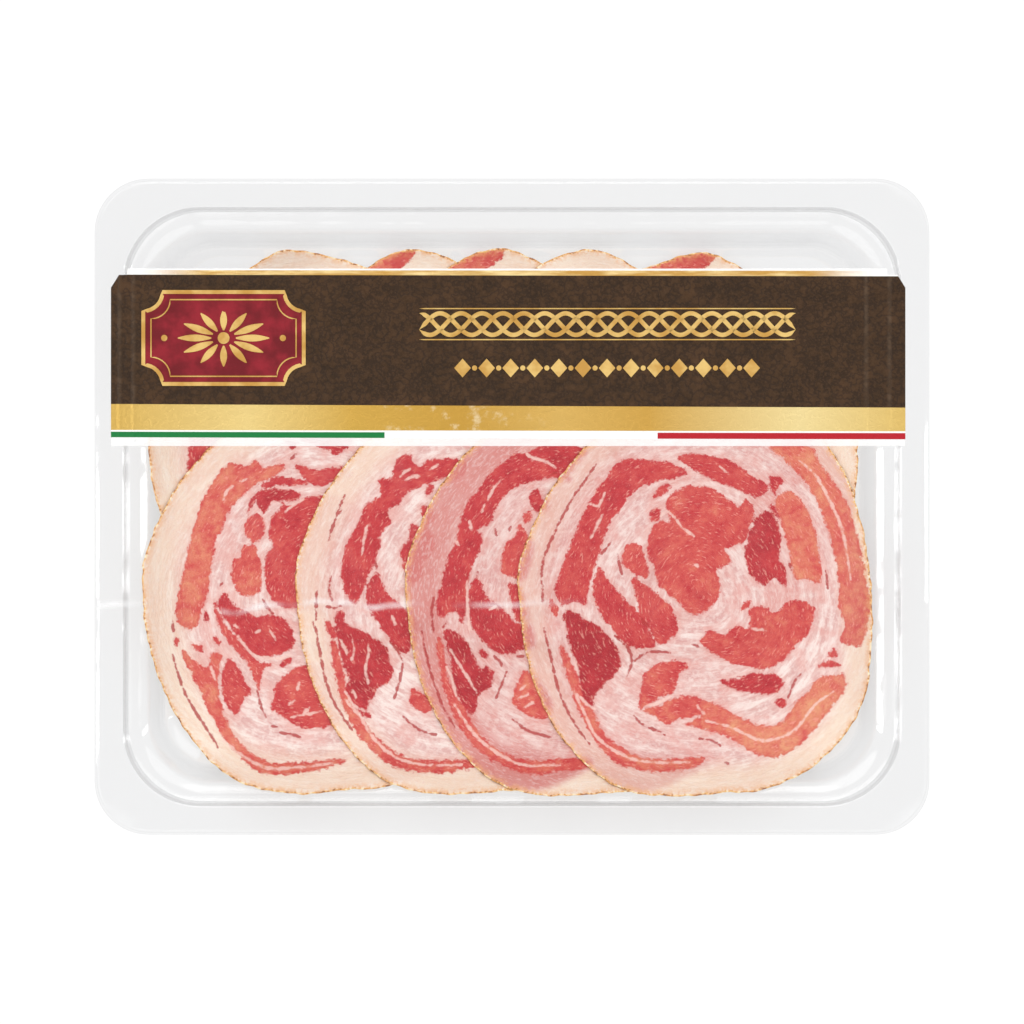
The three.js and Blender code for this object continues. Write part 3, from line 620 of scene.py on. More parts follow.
def make_film():
    tint, edge_tint = (0.99, 0.99, 0.99, 1), (0.9, 0.9, 0.9, 1)
    material = clear_plastic("clear film", FILM_INDEX, tint, edge_tint, 0.08, film_crease_glint)
    depths = np.linspace(SAG_WIDTH, 0, 15)
    rings = [(FILM_MOUTH[0] + depth, max(FILM_MOUTH[1] - depth, 4.0)) for depth in depths]
    rings.append(FILM_EDGE)
    loops = [rounded_ring(inset, radius, 0, *RING_STEPS) for inset, radius in rings]
    middle = [np.array(loops[0]) * share for share in (0.1, 0.3, 0.5, 0.7, 0.85)]
    film = mesh_piece("film_sheet", *thin_sheet(middle + loops, film_top, FILM_THICKNESS), material, 50)
    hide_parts("lid_film")
    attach(film, "root")
    let_light_through(film)


# ---- The label ----

# The print's edges, from the front: where each lies at the label's left and right ends.
STRIPE_FRONT, STRIPE_BACK = (19.9, 19.3), (21.5, 21.1)
GOLD_FRONT, GOLD_BACK = (22.0, 21.6), (29.45, 28.4)
FIELD_BACK, STRIP_FRONT = (66.6, 66.1), (67.9, 67.7)
# Where the striped line is white, between its green and its red.
WHITE_ENDS = (-36.6, 41.8)
# Where the sheet has puckered in ridges across its width.
RIDGES = (-112.6, -108.6, 101.6, 108.3)


def label_sheet():
    """The label's outline as columns, each from the front edge to the back edge."""
    columns = [(LABEL_LEFT, LABEL_BACK - CORNER_ACROSS), (LABEL_LEFT + CORNER_ALONG, LABEL_BACK)]
    columns += [(STRIP_LEFT, LABEL_BACK), (STRIP_LEFT + 0.2, STRIP_BACK)]
    columns += [(x, STRIP_BACK) for x in np.linspace(STRIP_LEFT, STRIP_RIGHT, 120)[1:-1]]
    columns += [(STRIP_RIGHT - 0.2, STRIP_BACK), (STRIP_RIGHT, LABEL_BACK)]
    columns += [(LABEL_RIGHT - CORNER_ALONG, LABEL_BACK), (LABEL_RIGHT, LABEL_BACK - CORNER_ACROSS)]
    rows = 28
    points, faces = [], []
    for drop in (0, LABEL_THICKNESS):
        for x, back in columns:
            for y in np.linspace(LABEL_FRONT, back, rows):
                points.append((x, y, label_top(x, y) - drop))
    half = len(points) // 2
    last = len(columns) - 1
    for i in range(last):
        for j in range(rows - 1):
            a, d = i * rows + j, i * rows + j + 1
            b, c = a + rows, d + rows
            faces += [(a, b, c, d), (half + d, half + c, half + b, half + a)]
        front, back = i * rows, i * rows + rows - 1
        faces += [(front, half + front, half + front + rows, front + rows)]
        faces += [(back + rows, half + back + rows, half + back, back)]
    for j in range(rows - 1):
        left, right = j, last * rows + j
        faces += [(left + 1, half + left + 1, half + left, left)]
        faces += [(right, half + right, half + right + 1, right + 1)]
    return points, faces


def print_shader():
    """The label's print: brown field, gold bands, a striped line and a clear margin."""
    shader = Shader("printed label")
    mix, step, scaled, noise = shader.mix, shader.step, shader.scaled, shader.noise
    place = shader.place()
    split = shader.node("SeparateXYZ", {0: place})
    x, y = split.outputs[0], split.outputs[1]

    def over(line, blur=0.05):
        """1 behind a print edge that runs from one end of the label to the other."""
        left, right = line
        slope = (right - left) / (LABEL_RIGHT - LABEL_LEFT)
        level = scaled(x, -slope, -(left - slope * LABEL_LEFT))
        return step(shader.plus(y, level), -blur, blur)

    def right_of(edge, blur=0.05):
        return step(x, edge - blur, edge + blur)

    coarse = noise(place, 0.12, 4.0, 0.6)
    creases = noise(place, 0.42, 3.0, 0.55)
    off_crease = shader.gap(creases, 0.5)
    wrinkles = step(off_crease, 0.0, 0.09)
    grain = noise(place, 1.6, 3.0, 0.7)
    brown = shader.ramp(coarse, {0.35: (54, 35, 15), 0.5: (62, 41, 20), 0.68: (76, 51, 28)})
    brown = mix(step(grain, 0.4, 0.7, 0.0, 0.5), brown, colour(82, 58, 39))
    brown = mix(step(off_crease, 0.1, 0.22, 0.0, 0.25), brown, colour(90, 64, 43))
    brown = mix(scaled(wrinkles, -0.55, 0.55), brown, colour(36, 22, 11))
    ridges = 0.0
    for spot in RIDGES:
        ridges = shader.plus(ridges, step(shader.gap(x, spot), 1.0, 0.0))
    # The print is painted lighter along the ridges: a painted highlight where they catch the light.
    ridge_highlight = shader.times(ridges, step(creases, 0.35, 0.65, 0.1, 0.4))
    brown = mix(ridge_highlight, brown, colour(104, 84, 66))
    # The gold band is lighter and darker along its length, and paler in spots near its middle: painted
    # reflections of the foil.
    gold = shader.ramp(scaled(x, 1 / 230, 0.5), {
        0.0: (202, 165, 84), 0.17: (222, 195, 126), 0.3: (198, 158, 72), 0.44: (190, 147, 62),
        0.56: (206, 167, 90), 0.67: (196, 153, 71), 0.86: (227, 205, 145), 1.0: (208, 174, 95),
    })
    foil_glints = step(noise(place, 0.25, 5.0, 0.7), 0.55, 0.75, 0.0, 0.45)
    middle = step(shader.gap(x, -17.0), 32.0, 8.0)
    gold = mix(shader.times(foil_glints, middle), gold, colour(248, 236, 205))

    white = (0.88, 0.88, 0.87, 1)
    stripe = mix(right_of(WHITE_ENDS[0]), colour(24, 124, 62), white)
    stripe = mix(right_of(WHITE_ENDS[1]), stripe, colour(186, 32, 44))
    field = over(FIELD_BACK)
    bands = [over(line) for line in (STRIPE_FRONT, STRIPE_BACK, GOLD_FRONT, GOLD_BACK)]
    ink = white
    for band, paint in zip(bands, (stripe, white, gold, brown)):
        ink = mix(band, ink, paint)
    # The gold strip is painted with streaks of glare, and turns white towards both ends: painted highlights
    # on its foil.
    glare = noise(shader.place((0.06, 0.5, 1)), 1.0, 3.0, 0.6)
    strip = mix(step(glare, 0.4, 0.7), colour(196, 150, 76), colour(238, 212, 152))
    ends = step(shader.gap(x, -1.4), 85.0, 108.0, 0.0, 0.9)
    strip = mix(shader.math("MAXIMUM", ends, over(STRIP_FRONT, 0.15)), strip, white)
    ink = mix(field, ink, strip)

    foil = shader.plus(shader.math("SUBTRACT", bands[2], bands[3]), field)
    normal = shader.bump(shader.plus(scaled(creases, 2.0), wrinkles), 0.06)
    normal = shader.bump(ridges, 0.15, normal)
    body = shader.node("BsdfPrincipled", {
        "Base Color": ink, "Metallic": scaled(foil, 0.4), "Roughness": 0.42, "Normal": normal,
        "Specular IOR Level": 0.15,
    })
    clear = shader.node("BsdfTransparent", {"Color": (1, 1, 1, 1)})
    return shader.surface(shader.node("MixShader", {
        0: scaled(bands[0], -0.45, 0.45), 1: body.outputs[0], 2: clear.outputs[0],
    }))


def make_label():
    label = mesh_piece("label_band", *label_sheet(), print_shader(), 50)
    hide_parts("label")
    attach(label, "root")
    let_light_through(label)


# The ornaments stand a little proud of the print.
PLAQUE_LIFT, FOIL_LIFT = 0.06, 0.22
PLAQUE, PLAQUE_HALF = (-82.8, 48.4), (23.0, 13.2)
BRAID, BRAID_HALF = (27.4, 52.4), (54.0, 3.1)
LOZENGES, LOZENGES_HALF = (27.3, 39.8), 41.5


def raised(flat, faces, rims, lift=FOIL_LIFT):
    """Flat points and faces laid on the label, with a wall under each rim of point numbers."""
    flat = np.asarray(flat, float)
    top = label_top(flat[:, 0], flat[:, 1])
    count = len(flat)
    points = np.vstack([np.column_stack([flat, top + lift]), np.column_stack([flat, top - 0.02])])
    faces = list(faces)
    for rim in rims:
        faces += [(b, a, a + count, b + count) for a, b in zip(rim, rim[1:] + rim[:1])]
    return points.tolist(), faces


def foil_line(line, half_widths, closed=False):
    """A raised stroke along a line. Half widths may vary along it."""
    line = np.asarray(line, float)
    if closed:
        ahead, behind = np.roll(line, -1, 0), np.roll(line, 1, 0)
    else:
        ahead, behind = np.vstack([line[1:], line[-1:]]), np.vstack([line[:1], line[:-1]])
    run = ahead - behind
    run /= np.hypot(*run.T)[:, None]
    side = np.column_stack([-run[:, 1], run[:, 0]]) * np.broadcast_to(half_widths, len(line))[:, None]
    count = len(line)
    spans = [(k, (k + 1) % count) for k in range(count if closed else count - 1)]
    faces = [(a + count, b + count, b, a) for a, b in spans]
    left, right = list(range(count)), list(range(count, 2 * count))
    rims = [left[::-1], right] if closed else [right + left[::-1]]
    return raised(np.vstack([line + side, line - side]), faces, rims)


def foil_patch(outline, lift=FOIL_LIFT):
    """A raised patch inside an outline that its middle sees whole."""
    outline = np.asarray(outline, float)
    shares = np.linspace(1, 0.05, 9)
    middle = outline.mean(0)
    count = len(outline)
    flat = np.vstack([middle + (outline - middle) * share for share in shares])
    faces = []
    for k in range(len(shares) - 1):
        outer, inner = list(range(k * count, (k + 1) * count)), list(range((k + 1) * count, (k + 2) * count))
        faces += ring_faces(outer, inner)
    faces.append(tuple(range((len(shares) - 1) * count, len(shares) * count)))
    return raised(flat, faces, [list(range(count))], lift)


def plaque_outline(grow):
    """A long tablet with a concave bite at each corner."""
    half_x, half_y, bite = PLAQUE_HALF[0] + grow, PLAQUE_HALF[1] + grow, 5.5
    points = []
    for quarter, (sx, sy) in enumerate([(1, 1), (-1, 1), (-1, -1), (1, -1)]):
        turns = np.linspace(0, math.pi / 2, 9) if sx * sy < 0 else np.linspace(math.pi / 2, 0, 9)
        for turn in turns:
            points.append((sx * (half_x - bite * math.cos(turn)), sy * (half_y - bite * math.sin(turn))))
    return np.array(points) + PLAQUE


def circle(centre, radius, count=20):
    turns = np.linspace(0, 2 * math.pi, count, endpoint=False)
    return np.column_stack([np.cos(turns), np.sin(turns)]) * radius + centre


def ornament_shapes():
    """The plaque's rims and rosette, an open braid, and a row of lozenges and dots."""
    shapes = [foil_line(plaque_outline(0), 0.55, True), foil_line(plaque_outline(-2.2), 0.18, True)]
    turns = np.linspace(0, 2 * math.pi, 12, endpoint=False)
    for turn in turns:
        along = np.array([math.cos(turn), math.sin(turn)])
        line = [np.array(PLAQUE) + along * reach * (1.6, 1.0) for reach in np.linspace(2.2, 8.2, 9)]
        shapes.append(foil_line(line, 0.95 * np.sin(np.linspace(0.05, 0.97, 9) * math.pi) + 0.05))
    shapes.append(foil_patch(circle(PLAQUE, 1.7)))
    for side in (-1, 1):
        shapes.append(foil_patch(circle((PLAQUE[0] + side * 17.0, PLAQUE[1]), 0.9)))
    x = np.linspace(-BRAID_HALF[0], BRAID_HALF[0], 300)
    swing = 2 * math.pi * x / 18.0
    ends = np.clip((BRAID_HALF[0] - np.abs(x)) / 1.5, 0.05, 1)
    for phase in (0, 2 * math.pi / 3, 4 * math.pi / 3):
        wave = np.column_stack([x, BRAID_HALF[1] * np.cos(swing + phase)]) + BRAID
        shapes.append(foil_line(wave, 0.62 * ends))
    for edge in (-1, 1):
        straight = np.column_stack([x, np.full(len(x), edge * (BRAID_HALF[1] + 1.35))]) + BRAID
        shapes.append(foil_line(straight, 0.16 * ends))
    for k, offset in enumerate(np.linspace(-LOZENGES_HALF, LOZENGES_HALF, 25)):
        spot = np.array(LOZENGES) + (offset, 0)
        if k % 2:
            shapes.append(foil_patch(circle(spot, 0.75, 16)))
        else:
            shapes.append(foil_patch(spot + [(2.4, 0), (0, 2.7), (-2.4, 0), (0, -2.7)]))
    return shapes


def foil_shader(name, dark, light, metallic):
    shader = Shader(name)
    place = shader.place()
    tone = shader.noise(place, 0.12, 3.0, 0.6)
    grain = shader.noise(place, 1.2, 3.0, 0.7)
    ink = shader.mix(shader.step(tone, 0.35, 0.65), dark, light)
    ink = shader.mix(shader.step(grain, 0.5, 0.8, 0.0, 0.3), ink, dark)
    normal = shader.bump(grain, 0.05)
    return shader.surface(shader.node("BsdfPrincipled", {
        "Base Color": ink, "Metallic": metallic, "Roughness": 0.4, "Normal": normal,
        "Specular IOR Level": 0.2,
    }))


def make_ornaments():
    crimson = foil_shader("plaque enamel", colour(112, 12, 24), colour(150, 28, 42), 0.0)
    gold = foil_shader("gold foil", colour(196, 148, 72), colour(226, 190, 116), 0.35)
    plaque = mesh_piece("plaque_field", *foil_patch(plaque_outline(-0.2), PLAQUE_LIFT), crimson, 40)
    lines = mesh_piece("gold_ornaments", *joined(ornament_shapes()), gold, 40)
    for piece in (plaque, lines):
        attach(piece, "root")


# ---- The slices ----

# How far from a line of the pattern its distance is still read.
FAR = 3.0
# Half the widths of the pattern's thin lines.
LINE_WIDTHS = {"vein": 0.4, "seam": 0.3}
# The fine unevenness of a slice's rim: its waves round the rim, and their height.
RIM_WAVES, RIM_UNEVEN = [9, 14, 23, 37, 61, 88], 0.22
# The height over a slice's underside from which its points are its top, which has relief.
TOP_FROM = 0.9
# The grid on which the slices are draped.
GRID_STEP = 1.5
GRID_X = np.arange(-111, 111.1, GRID_STEP)
GRID_Y = np.arange(-88.5, 79.6, GRID_STEP)
# Each pass of draping moves a crossing this much of the way to where it would lie even.
OVERSHOOT = 1.6


def shifted_sum(values, covered):
    """The sum over each crossing's four neighbours that are covered, and their number."""
    padded = np.pad(values * covered, 1)
    known = np.pad(covered.astype(float), 1)
    spots = [(slice(0, -2), slice(1, -1)), (slice(2, None), slice(1, -1)),
             (slice(1, -1), slice(0, -2)), (slice(1, -1), slice(2, None))]
    return sum(padded[s] for s in spots), np.maximum(sum(known[s] for s in spots), 1)


def drape(rim, centre, below):
    """The underside of a slice over the grid: it rests on what is below and bends little."""
    x, y = np.meshgrid(GRID_X, GRID_Y, indexing="ij")
    places = np.column_stack([x.ravel(), y.ravel()]) - centre
    depth = depth_inside(places, rim).reshape(x.shape)
    support = tray_height(x, y) + TRAY_GAP
    for other in below:
        laid = other["depth"] > -0.5
        top = other["base"] + SLICE_THICKNESS + SLICE_GAP
        support = np.where(laid, np.maximum(support, top), support)
    covered = depth > -3 * GRID_STEP
    parity = np.add.outer(np.arange(len(GRID_X)), np.arange(len(GRID_Y))) % 2
    base = support.copy()
    for _ in range(220):
        for turn in (0, 1):
            total, count = shifted_sum(base, covered)
            target = (total - CURVATURE * GRID_STEP ** 2) / count
            moved = np.maximum(support, base + OVERSHOOT * (target - base))
            base = np.where(covered & (parity == turn), moved, base)
    return {"base": base, "depth": depth}


def sample(grid, x, y):
    """A smooth reading of the grid at any points, by cubic B-splines."""
    u, v = (x - GRID_X[0]) / GRID_STEP, (y - GRID_Y[0]) / GRID_STEP
    i = np.clip(u.astype(int), 1, len(GRID_X) - 3)
    j = np.clip(v.astype(int), 1, len(GRID_Y) - 3)

    def weights(t):
        return [(1 - t) ** 3 / 6, (3 * t ** 3 - 6 * t ** 2 + 4) / 6,
                (-3 * t ** 3 + 3 * t ** 2 + 3 * t + 1) / 6, t ** 3 / 6]

    wide, high = weights(u - i), weights(v - j)
    return sum(wide[a] * high[b] * grid[i + a - 1, j + b - 1] for a in range(4) for b in range(4))


def square_to_disc(count):
    """An even grid over the unit disc: the angle and radius of each crossing of a square grid."""
    line = np.linspace(-1, 1, count + 1)
    a, b = np.meshgrid(line, line, indexing="ij")
    wide = np.abs(a) > np.abs(b)
    radius = np.where(wide, a, b)
    safe = np.where(radius == 0, 1, radius)
    angle = np.where(wide, math.pi / 4 * b / safe, math.pi / 2 - math.pi / 4 * a / safe)
    angle = np.where(radius < 0, angle + math.pi, angle)
    return angle, np.abs(radius)


def border(count):
    """The numbers of a grid's border points, anticlockwise."""
    side = count + 1
    bottom = [i * side for i in range(count)]
    right = [count * side + j for j in range(count)]
    top = [i * side + count for i in range(count, 0, -1)]
    left = [j for j in range(count, 0, -1)]
    return bottom + right + top + left


def grid_faces(count, flip=False):
    side = count + 1
    i, j = np.meshgrid(np.arange(count), np.arange(count), indexing="ij")
    a = (i * side + j).ravel()
    quads = np.column_stack([a, a + side, a + side + 1, a + 1])
    return (quads[:, ::-1] if flip else quads).tolist()


def stitch(outer, inner):
    """Triangles between a ring and one with fewer points."""
    ratio = len(outer) // len(inner)
    faces = []
    for k, spot in enumerate(inner):
        after = inner[(k + 1) % len(inner)]
        run = [outer[(k * ratio + m) % len(outer)] for m in range(ratio + 1)]
        half = ratio // 2
        faces += [(b, a, spot) for a, b in zip(run[:half], run[1:half + 1])]
        faces.append((after, run[half], spot))
        faces += [(b, a, after) for a, b in zip(run[half:], run[half + 1:])]
    return faces


def lean_fields(places, pattern):
    """How deep each place on a slice lies inside the lean, and the lean's tone there."""
    lean = np.full(len(places), -FAR)
    tone = np.full(len(places), 0.5)
    for island_tone, controls in pattern["lean"].values():
        ring = pattern_curve(controls)
        spots = np.flatnonzero(near(places, ring, FAR))
        depth = depth_inside(places[spots], ring)
        better = depth > lean[spots]
        lean[spots[better]] = depth[better]
        tone[spots[better]] = island_tone
    return lean, tone


def pattern_fields(places, pattern):
    """The lean, its tone, the veins and the seams at places on a slice."""
    lean, tone = lean_fields(places, pattern)
    found = {"lean": lean, "tone": tone}
    for kind, half_width in LINE_WIDTHS.items():
        value = np.full(len(places), FAR)
        for controls in pattern[kind + "s"]:
            line = pattern_curve(controls, closed=False)
            widths = half_width * np.sin(np.linspace(0.12, 0.88, len(line)) * math.pi) ** 0.5
            spots = np.flatnonzero(near(places, line, FAR))
            value[spots] = np.minimum(value[spots], line_distance(places[spots], line, widths))
        found[kind] = -value
    return found


def turned_by(degrees):
    """What rows of points are multiplied by to turn them by an angle."""
    turn = math.radians(degrees)
    return np.array([[math.cos(turn), math.sin(turn)], [-math.sin(turn), math.cos(turn)]])


def slice_mesh(rim, centre, spin, sheet, pattern, seed, cells, back_cells):
    """A slice as a closed mesh, with the fields that its material reads."""
    full_turn = 2 * math.pi
    angles = np.linspace(-math.pi, math.pi, 721)
    reach = np.interp(angles, np.arctan2(*rim.T[::-1]), np.hypot(*rim.T), period=full_turn)
    reach = reach + waves(angles, seed, RIM_WAVES, RIM_UNEVEN)

    def ring_at(angle, share, inset):
        radius = share * (np.interp(angle, angles, reach, period=full_turn) - inset)
        return np.column_stack([radius * np.cos(angle), radius * np.sin(angle)])

    round_off = SLICE_THICKNESS / 2
    top_angle, top_share = square_to_disc(cells)
    under_angle, under_share = square_to_disc(back_cells)
    rim_numbers = border(cells)
    rim_angles = top_angle.ravel()[rim_numbers]
    flat = [ring_at(top_angle.ravel(), top_share.ravel(), round_off)]
    level = [np.full(flat[0].shape[0], SLICE_THICKNESS)]
    for turn_down in np.radians((30, 60, 90, 120, 150, 180)):
        flat.append(ring_at(rim_angles, 1.0, round_off * (1 - math.sin(turn_down))))
        drop = round_off * (1 - math.cos(turn_down))
        level.append(np.full(len(rim_angles), SLICE_THICKNESS - drop))
    flat.append(ring_at(under_angle.ravel(), under_share.ravel() * 0.985, round_off))
    level.append(np.zeros(flat[-1].shape[0]))
    starts = np.cumsum([0] + [len(part) for part in flat])
    places, levels = np.vstack(flat), np.concatenate(level)

    faces = grid_faces(cells)
    rings = [rim_numbers] + [list(range(starts[k], starts[k + 1])) for k in range(1, 7)]
    for first, second in zip(rings, rings[1:]):
        faces += ring_faces(first, second, flip=True)
    inner = [starts[7] + number for number in border(back_cells)]
    faces += stitch(rings[-1], inner)
    faces += [tuple(starts[7] + np.array(face)) for face in grid_faces(back_cells, flip=True)]

    fields = pattern_fields(places, pattern)
    lean_share = smoothstep(fields["lean"], -0.4, 0.6)
    relief = 0.05 * lean_share - 0.03 * smoothstep(fields["seam"], -0.5, 0.2)
    relief += 0.05 * smoothstep(fields["vein"], -0.4, 0.2)
    laid = places @ spin + centre
    height = sample(sheet["base"], *laid.T) + levels + relief * (levels > TOP_FROM)
    points = np.column_stack([laid, height])
    fields["rim"] = np.interp(np.arctan2(*places.T[::-1]), angles, reach, period=full_turn)
    fields["rim"] -= np.hypot(*places.T)
    return points, faces, places, fields


def pancetta_shader():
    """Lean and fat with their grain, the veins, the seams and the browned rind, whose brightest dashes are
    painted glints.
    """
    shader = Shader("pancetta")
    mix, step, scaled, noise = shader.mix, shader.step, shader.scaled, shader.noise
    place = shader.place()
    lean, tone, vein, seam, rim, under, warm = [
        shader.field(name) for name in ("lean", "tone", "vein", "seam", "rim", "under", "warm")
    ]
    coarse = noise(place, 0.16, 2.0, 0.6)
    middling = noise(place, 0.6, 3.0, 0.6)
    fine = noise(place, 1.9, 2.0, 0.65)
    streaks = noise(shader.stretched("grain", (0.10, 0.10, 0.55)), 1.0, 3.0, 0.65)
    fibres = noise(shader.stretched("grain", (0.62, 0.62, 1.9)), 1.0, 2.0, 0.5)

    ragged = shader.plus(scaled(middling, 2.8, -1.4), scaled(fine, 1.0, -0.5))
    lean_depth = shader.plus(lean, ragged)
    is_lean = step(lean_depth, -0.45, 0.25)

    shade = shader.plus(tone, scaled(coarse, 0.75, -0.37))
    shade = shader.plus(shade, scaled(middling, 0.6, -0.28), clamp=True)
    red = shader.ramp(shade, {
        0.0: (233, 163, 120), 0.25: (224, 124, 98), 0.45: (214, 84, 75), 0.7: (197, 44, 51),
        1.0: (170, 14, 32),
    })
    red = mix(step(fine, 0.47, 0.33, 0.0, 0.25), red, colour(182, 26, 34))
    red = mix(step(lean_depth, 0.7, 0.2, 0.0, 0.25), red, colour(196, 40, 46))
    flecks = shader.times(step(fibres, 0.57, 0.65, 0.0, 0.5), step(middling, 0.42, 0.56, 0.1, 1.0))
    red = mix(flecks, red, colour(248, 172, 154))

    pale = shader.ramp(streaks, {0.38: (221, 171, 165), 0.5: (231, 190, 183), 0.62: (247, 227, 220)})
    fat = mix(step(middling, 0.45, 0.62, 0.0, 0.5), pale, colour(251, 235, 228))
    fat = mix(step(coarse, 0.45, 0.65, 0.0, 0.6), fat, colour(230, 168, 159))
    fat = mix(step(lean_depth, -2.2, 0.0, 0.0, 0.3), fat, colour(233, 160, 148))
    cream = mix(streaks, colour(242, 205, 176), colour(250, 238, 221))
    fat = mix(scaled(warm, 0.92), fat, cream)
    fat = mix(under, fat, colour(210, 118, 112))
    fat = mix(step(fibres, 0.5, 0.65, 0.0, 0.22), fat, colour(253, 244, 239))
    fat = mix(step(fine, 0.42, 0.3, 0.0, 0.3), fat, colour(229, 168, 160))

    flesh = mix(is_lean, fat, red)
    vein_depth = shader.plus(vein, scaled(middling, 1.6, -0.85))
    flesh = mix(step(vein_depth, -0.3, 0.2, 0.0, 0.75), flesh, colour(247, 208, 196))
    seam_depth = shader.plus(seam, scaled(middling, 1.8, -0.85))
    flesh = mix(step(seam_depth, -0.2, 0.15, 0.0, 0.85), flesh, colour(176, 30, 28))

    # The rind's dashes run from dark brown through amber to near white; the near-white ones are painted
    # glints.
    dashes = noise(shader.stretched("grain", (0.5, 0.5, 0.0)), 1.0, 2.0, 0.9)
    rind_with_glints = shader.ramp(dashes, {
        0.38: (150, 88, 42), 0.46: (220, 150, 78), 0.54: (244, 196, 124), 0.64: (255, 240, 205),
    })
    rim_depth = shader.plus(rim, scaled(fine, 1.6, -0.8))
    amber = shader.times(step(rim_depth, 2.4, 0.3), step(dashes, 0.6, 0.45, 0.0, 0.6))
    flesh = mix(amber, flesh, colour(240, 176, 112))
    flesh = mix(step(rim_depth, 0.65, 0.25), flesh, rind_with_glints)

    return shader.surface(shader.node("BsdfPrincipled", {
        "Base Color": flesh, "Roughness": scaled(fine, 0.35, 0.2), "Specular IOR Level": 0.22,
        "Normal": shader.bump(fibres, 0.2),
    }))


def slice_shape(name, rim, row_place, below, pattern, seed, cells, back_cells, thin, material):
    """One slice, laid on those below. Thin says how much of them shows through its fat."""
    centre, spin = np.array(row_place[:2]), turned_by(row_place[2])
    outline = smooth_curve(rim, 12)
    sheet = drape(outline @ spin, centre, below)
    points, faces, places, fields = slice_mesh(
        outline, centre, spin, sheet, pattern, seed, cells, back_cells)

    beneath = np.zeros(len(points))
    for other in below:
        local = (points[:, :2] - other["centre"]) @ other["spin"].T
        laid_on = smoothstep(sample(other["depth"], points[:, 0], points[:, 1]), -2.0, 1.0)
        spots = np.flatnonzero(laid_on > 0.01)
        hidden_lean = smoothstep(lean_fields(local[spots], other["pattern"])[0], -1.5, 1.0)
        beneath[spots] = np.minimum(thin * laid_on[spots] * (0.4 + 0.6 * hidden_lean), 1)
    beneath *= 1 - 0.7 * smoothstep(fields["rim"], 7, 15)
    grain = np.hypot(*places.T) + 1.2 * np.sin(3 * np.arctan2(*places.T[::-1])) + 37.0 * seed
    # The fat is creamier near the rim, in a band that is narrower where the slice is thin.
    warm_band = 18 - 24 * min(thin, 0.3)
    warm = (1 - smoothstep(fields["rim"], 4, warm_band)) * (1 - beneath)

    piece = mesh_piece(name.replace("slice", "pancetta"), points, faces, material)
    for field, values in {**fields, "under": beneath, "warm": warm}.items():
        attribute = piece.data.attributes.new(field, "FLOAT", "POINT")
        attribute.data.foreach_set("value", values.astype(np.float32))
    attribute = piece.data.attributes.new("grain", "FLOAT_VECTOR", "POINT")
    attribute.data.foreach_set("vector", np.column_stack([places, grain]).astype(np.float32).ravel())
    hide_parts(name)
    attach(piece, "root")
    sheet.update(centre=centre, spin=spin, pattern=pattern)
    return sheet


# The island of lean at the nose of some rear slices, and which slices have it.
NOSE_LEAN = (0.4, [-340,440, -200,550, -60,610, 30,620, 20,560, -30,520, -130,430, -240,340])
NOSE_SHOWS = [False, True, True, False, True]
REAR_THINNESS = 0.15


def rear_pattern(has_nose):
    """The last front slice's lean, but for the island at its right, and perhaps one at the nose."""
    lean = dict(FRONT_PATTERNS[3]["lean"])
    del lean["right outer"]
    if has_nose:
        lean["nose"] = NOSE_LEAN
    return {"lean": lean, "veins": [], "seams": []}


# How much of what lies beneath shows through the fat of each front slice.
THINNESS = [0.12, 0.22, 2.0, 0.9]


def make_slices():
    material = pancetta_shader()
    cells, back_cells = ((248, 62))
    laid = []
    for k, place in enumerate(REAR_ROW):
        pattern = rear_pattern(NOSE_SHOWS[k])
        name = f"slice_rear_{k + 1}"
        laid.append(slice_shape(name, REAR_RIM, place, laid, pattern, k + 11, cells // 2, back_cells,
                                REAR_THINNESS, material))
    for k, place in enumerate(FRONT_ROW):
        name = f"slice_front_{k + 1}"
        laid.append(slice_shape(name, FRONT_RIM, place, laid, FRONT_PATTERNS[k], k + 1, cells, back_cells,
                                THINNESS[k], material))


# ---- The floor, the lights and the camera ----

CAMERA_HEIGHT, CAMERA_Y, CAMERA_LENS = 1200.0, -1.55, 144.78
# The distant lights' compass directions, in degrees from +X towards +Y, and their strengths. All
# stand at one elevation and look equally wide, in degrees.
SUNS = {115: 0.69, 60: 0.48, 225: 0.44, 315: 0.39}
SUN_ELEVATION, SUN_WIDTH = 55, 44
SKY = 0.71
# The upright windows: the side they stand on, their y, their width and their brightness.
WINDOWS = [(-1, -3, 60, 10.0), (-1, -88, 52, 10.0), (1, 0, 80, 8.0)]
WINDOW_AWAY, WINDOW_MIDDLE, WINDOW_HEIGHT = 700, 730, 1350


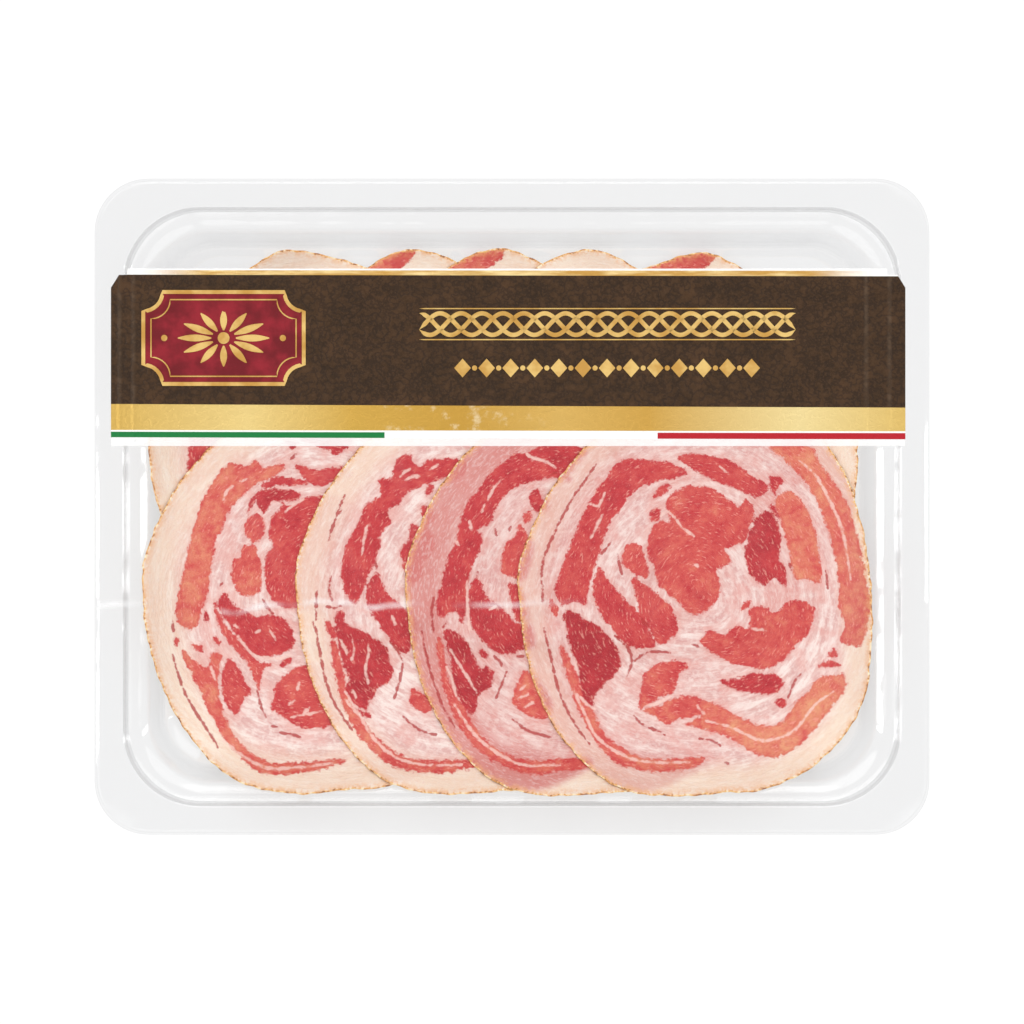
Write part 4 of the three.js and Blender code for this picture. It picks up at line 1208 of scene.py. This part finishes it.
def make_floor():
    """A pale table that glows a little, so that it is as even as the floor of a lightbox."""
    shader = Shader("pale floor")
    body = shader.node("BsdfPrincipled", {
        "Base Color": (0.3, 0.3, 0.3, 1), "Roughness": 0.9, "Specular IOR Level": 0.0,
        "Emission Color": (1, 1, 1, 1), "Emission Strength": 0.67,
    })
    reach = 3000
    corners = [(-reach, -reach, 0), (reach, -reach, 0), (reach, reach, 0), (-reach, reach, 0)]
    floor = mesh_piece("floor", corners, [(0, 1, 2, 3)], shader.surface(body))
    floor.location.z = -0.02 * MM


def add_light(name, kind, place, turn):
    """A light at a place in millimetres, turned by degrees about X, Y and Z."""
    light = bpy.data.lights.new(name, kind)
    lamp = bpy.data.objects.new(name, light)
    lamp.location = np.array(place) * MM
    lamp.rotation_euler = np.radians(turn)
    bpy.context.scene.collection.objects.link(lamp)
    return light, lamp


def light_scene():
    """Soft light from all round, and windows that show in glossy surfaces."""
    world = bpy.data.worlds.new("studio")
    world.use_nodes = True
    backdrop = world.node_tree.nodes["Background"]
    backdrop.inputs["Color"].default_value = (1, 1, 1, 1)
    backdrop.inputs["Strength"].default_value = SKY
    scene = bpy.context.scene
    scene.world = world
    for azimuth, strength in SUNS.items():
        light, _ = add_light("sun", "SUN", (0, 0, 0), (0, 90 - SUN_ELEVATION, azimuth))
        light.energy = strength
        light.angle = math.radians(SUN_WIDTH)
    for side, y, width, brightness in WINDOWS:
        place = (side * WINDOW_AWAY, y, WINDOW_MIDDLE)
        light, lamp = add_light("window", "AREA", place, (90, 0, 90 * side))
        light.shape = "RECTANGLE"
        light.size, light.size_y = width * MM, WINDOW_HEIGHT * MM
        light.energy = brightness * math.pi * light.size * light.size_y
        lamp.visible_diffuse = False
    scene.view_settings.view_transform = "Standard"
    scene.cycles.max_bounces = 3
    scene.cycles.diffuse_bounces = 2
    scene.cycles.glossy_bounces = 1
    scene.cycles.transparent_max_bounces = 16


def add_camera():
    data = bpy.data.cameras.new("camera")
    data.sensor_width = 36
    data.lens = CAMERA_LENS
    data.clip_end = 20
    camera = bpy.data.objects.new("camera", data)
    camera.location = (0, CAMERA_Y * MM, CAMERA_HEIGHT * MM)
    bpy.context.scene.collection.objects.link(camera)
    bpy.context.scene.camera = camera


add_camera()
make_floor()
light_scene()
make_tray()
make_slices()
make_film()
make_label()
make_ornaments()
